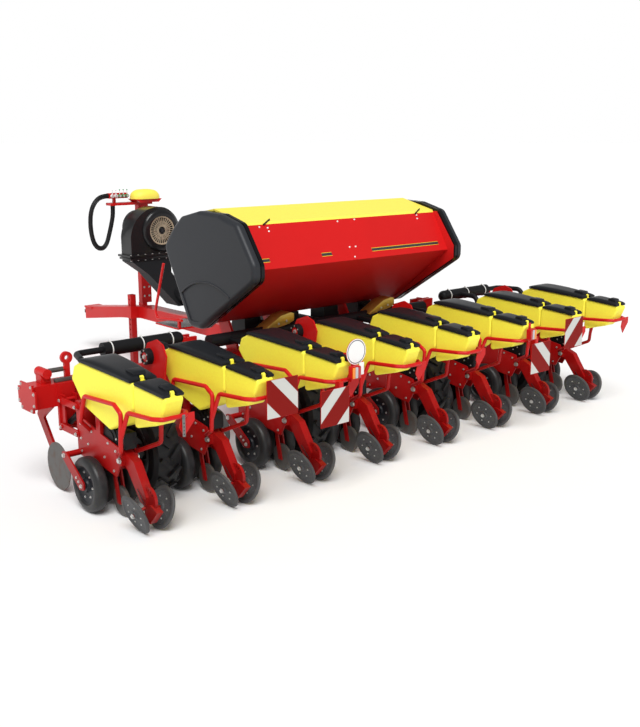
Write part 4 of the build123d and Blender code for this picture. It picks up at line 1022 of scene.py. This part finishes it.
# couplers on the hose rack, each with a collar and a pin with a knob, and the tower's bolts
towerSet = {"firstX": -325.0, "pitch": 47.5, "grips": ("white", "white", "green", "green", "green"),
            "y": (3151.0, 3180.0), "z": 2035.0, "gripR": 18.5, "collarR": 12.95, "collarHalf": 3.0,
            "pinR": 4.5, "pinTop": 2102.0, "knobR": 8.0,
            "bolts": [(62, 832), (128, 832), (62, 940), (128, 940), (95, 1120)],
            "towerY": 3202.0, "boltR": 10.0}


def addTowerFittings(s):
    bm = bmesh.new()
    y0, y1 = s["y"]
    middle = (y0 + y1) / 2
    names = ["white", "green", "bolt"]
    for k, colour in enumerate(s["grips"]):
        x = s["firstX"] + k * s["pitch"]
        mat = names.index(colour)
        top = at(x, middle, s["pinTop"])
        addRod(bm, at(x, y0, s["z"]), at(x, y1, s["z"]), s["gripR"], sides=24, mat=mat)
        back, front = (at(x, y0 + step, s["z"]) for step in (-s["collarHalf"], s["collarHalf"]))
        addRod(bm, back, front, s["collarR"], sides=24, mat=2)
        addRod(bm, at(x, middle, s["z"]), top, s["pinR"], sides=12)
        made = bmesh.ops.create_icosphere(bm, subdivisions=2, radius=s["knobR"] / perMetre,
                                          matrix=Matrix.Translation(top))
        paint(made["verts"], mat)
    for x, z in s["bolts"]:
        addBolt(bm, at(x, s["towerY"], z), (0, -1, 0), s["boltR"], mat=2)
    addPiece("tower_fittings", bm, [plain[n] for n in names], "chassis")


# the step's perforated sheet
stepSet = {"sheet": ((-478, 1642, 735.2), (-92, 2078, 738.0)), "soft": 1.0}


def addStep(s):
    bm = bmesh.new()
    addBlock(bm, s["sheet"], soft=s["soft"])
    addPiece("step_plate", bm, [perforatedFinish("step_sheet", sheetSet)], "chassis")


addTowerFittings(towerSet)
addStep(stepSet)
print("tower fittings and step made")

# hose bundle: six hoses round the route's line, from the rack down and back up to the arm;
# the length and the diameter are in metres
hoseSet = {"y": 3225.0, "hoses": 6, "ring": 18.6, "hoseR": 9.25, "sides": 10,
           "length": 1.32, "diameter": 0.056, "order": 3, "resolution": 10,
           "route": [(-350.3, 2035), (-440, 2035), (-530, 1965), (-578, 1860), (-592, 1735), (-585, 1615),
                     (-560, 1510), (-510, 1445), (-440, 1440), (-390, 1500), (-355, 1605), (-322, 1715),
                     (-295, 1825), (-295, 1924.7)]}


def routeLine(s):
    data = bpy.data.curves.new("hose_route", "CURVE")
    data.dimensions = "3D"
    data.resolution_u = s["resolution"]
    spline = data.splines.new("NURBS")
    spline.points.add(len(s["route"]) - 1)
    for point, (x, z) in zip(spline.points, s["route"]):
        point.co = (*at(x, s["y"], z), 1)
    spline.order_u = s["order"]
    spline.use_endpoint_u = True
    carrier = bpy.data.objects.new("hose_route", data)
    mesh = bpy.data.meshes.new_from_object(carrier)
    line = [v.co.copy() for v in mesh.vertices]
    bpy.data.objects.remove(carrier)
    bpy.data.curves.remove(data)
    bpy.data.meshes.remove(mesh)
    return line


def addHoses(s):
    line = routeLine(s)
    bm = bmesh.new()
    across = Vector((0, 1, 0))
    for k in range(s["hoses"]):
        turn = 2 * math.pi * k / s["hoses"]
        strand = []
        for i, point in enumerate(line):
            side = heading(line, i).cross(across)
            strand.append(point + (side * math.cos(turn) + across * math.sin(turn)) * s["ring"] / perMetre)
        addTube(bm, strand, s["hoseR"], s["sides"])
    piece = addPiece("hose_bundle_run", bm, [finishes["hose_rubber"]], "chassis",
                     ["hose_bundle"])


addHoses(hoseSet)
print("hose bundle made")

# camera at the photograph's angle, in degrees
cameraSet = {"centre": (-5851, -6789, 2690), "azimuth": -41.107, "elevation": 13.281,
             "lens": 47.42, "sensor": 36.0}


def addCamera(s):
    az, el = math.radians(s["azimuth"]), math.radians(s["elevation"])
    back = Vector((math.sin(az) * math.cos(el), -math.cos(az) * math.cos(el), math.sin(el)))
    data = bpy.data.cameras.new("photoCamera")
    data.sensor_width = s["sensor"]
    data.lens = s["lens"]
    camera = bpy.data.objects.new("photoCamera", data)
    camera.location = at(*s["centre"])
    camera.rotation_euler = (-back).to_track_quat("-Z", "Y").to_euler()
    bpy.context.collection.objects.link(camera)
    bpy.context.scene.camera = camera


# pale floor in metres, one broad sun and a sky that is white at the horizon and dimmer overhead;
# skyFade is (low height, high height, strength at the low one, strength at the high one)
studioSet = {"floorHalf": 400.0, "floorColour": (0.90, 0.90, 0.90), "floorRough": 0.95, "sunPower": 3.1,
             "sunSpread": 36.0, "sunFrom": (-0.45, -0.55, 1.0), "skyFade": (0.15, 0.36, 1.0, 0.30)}


def addFloor(s):
    bm = bmesh.new()
    bmesh.ops.create_grid(bm, x_segments=1, y_segments=1, size=s["floorHalf"])
    mesh = bpy.data.meshes.new("floor")
    bm.to_mesh(mesh)
    bm.free()
    floor = bpy.data.objects.new("floor", mesh)
    bpy.context.collection.objects.link(floor)
    pale = Finish("floor_pale").set(Base_Color=s["floorColour"], Roughness=s["floorRough"],
                                    Specular_IOR_Level=0.0)
    mesh.materials.append(pale.material)


def addLight(s):
    data = bpy.data.lights.new("sun", "SUN")
    data.energy = s["sunPower"]
    data.angle = math.radians(s["sunSpread"])
    sun = bpy.data.objects.new("sun", data)
    sun.rotation_euler = (-Vector(s["sunFrom"])).to_track_quat("-Z", "Y").to_euler()
    bpy.context.collection.objects.link(sun)
    sky = Sky("sky")
    height = sky.add("ShaderNodeSeparateXYZ", None, {0: sky.add("ShaderNodeTexCoord")}, out=2)
    sky.set(Color=(1.0, 1.0, 1.0), Strength=sky.fade(height, *s["skyFade"]))
    bpy.context.scene.world = sky.world
    bpy.context.scene.view_settings.view_transform = "Standard"


addCamera(cameraSet)
addFloor(studioSet)
addLight(studioSet)
print("camera and studio set")
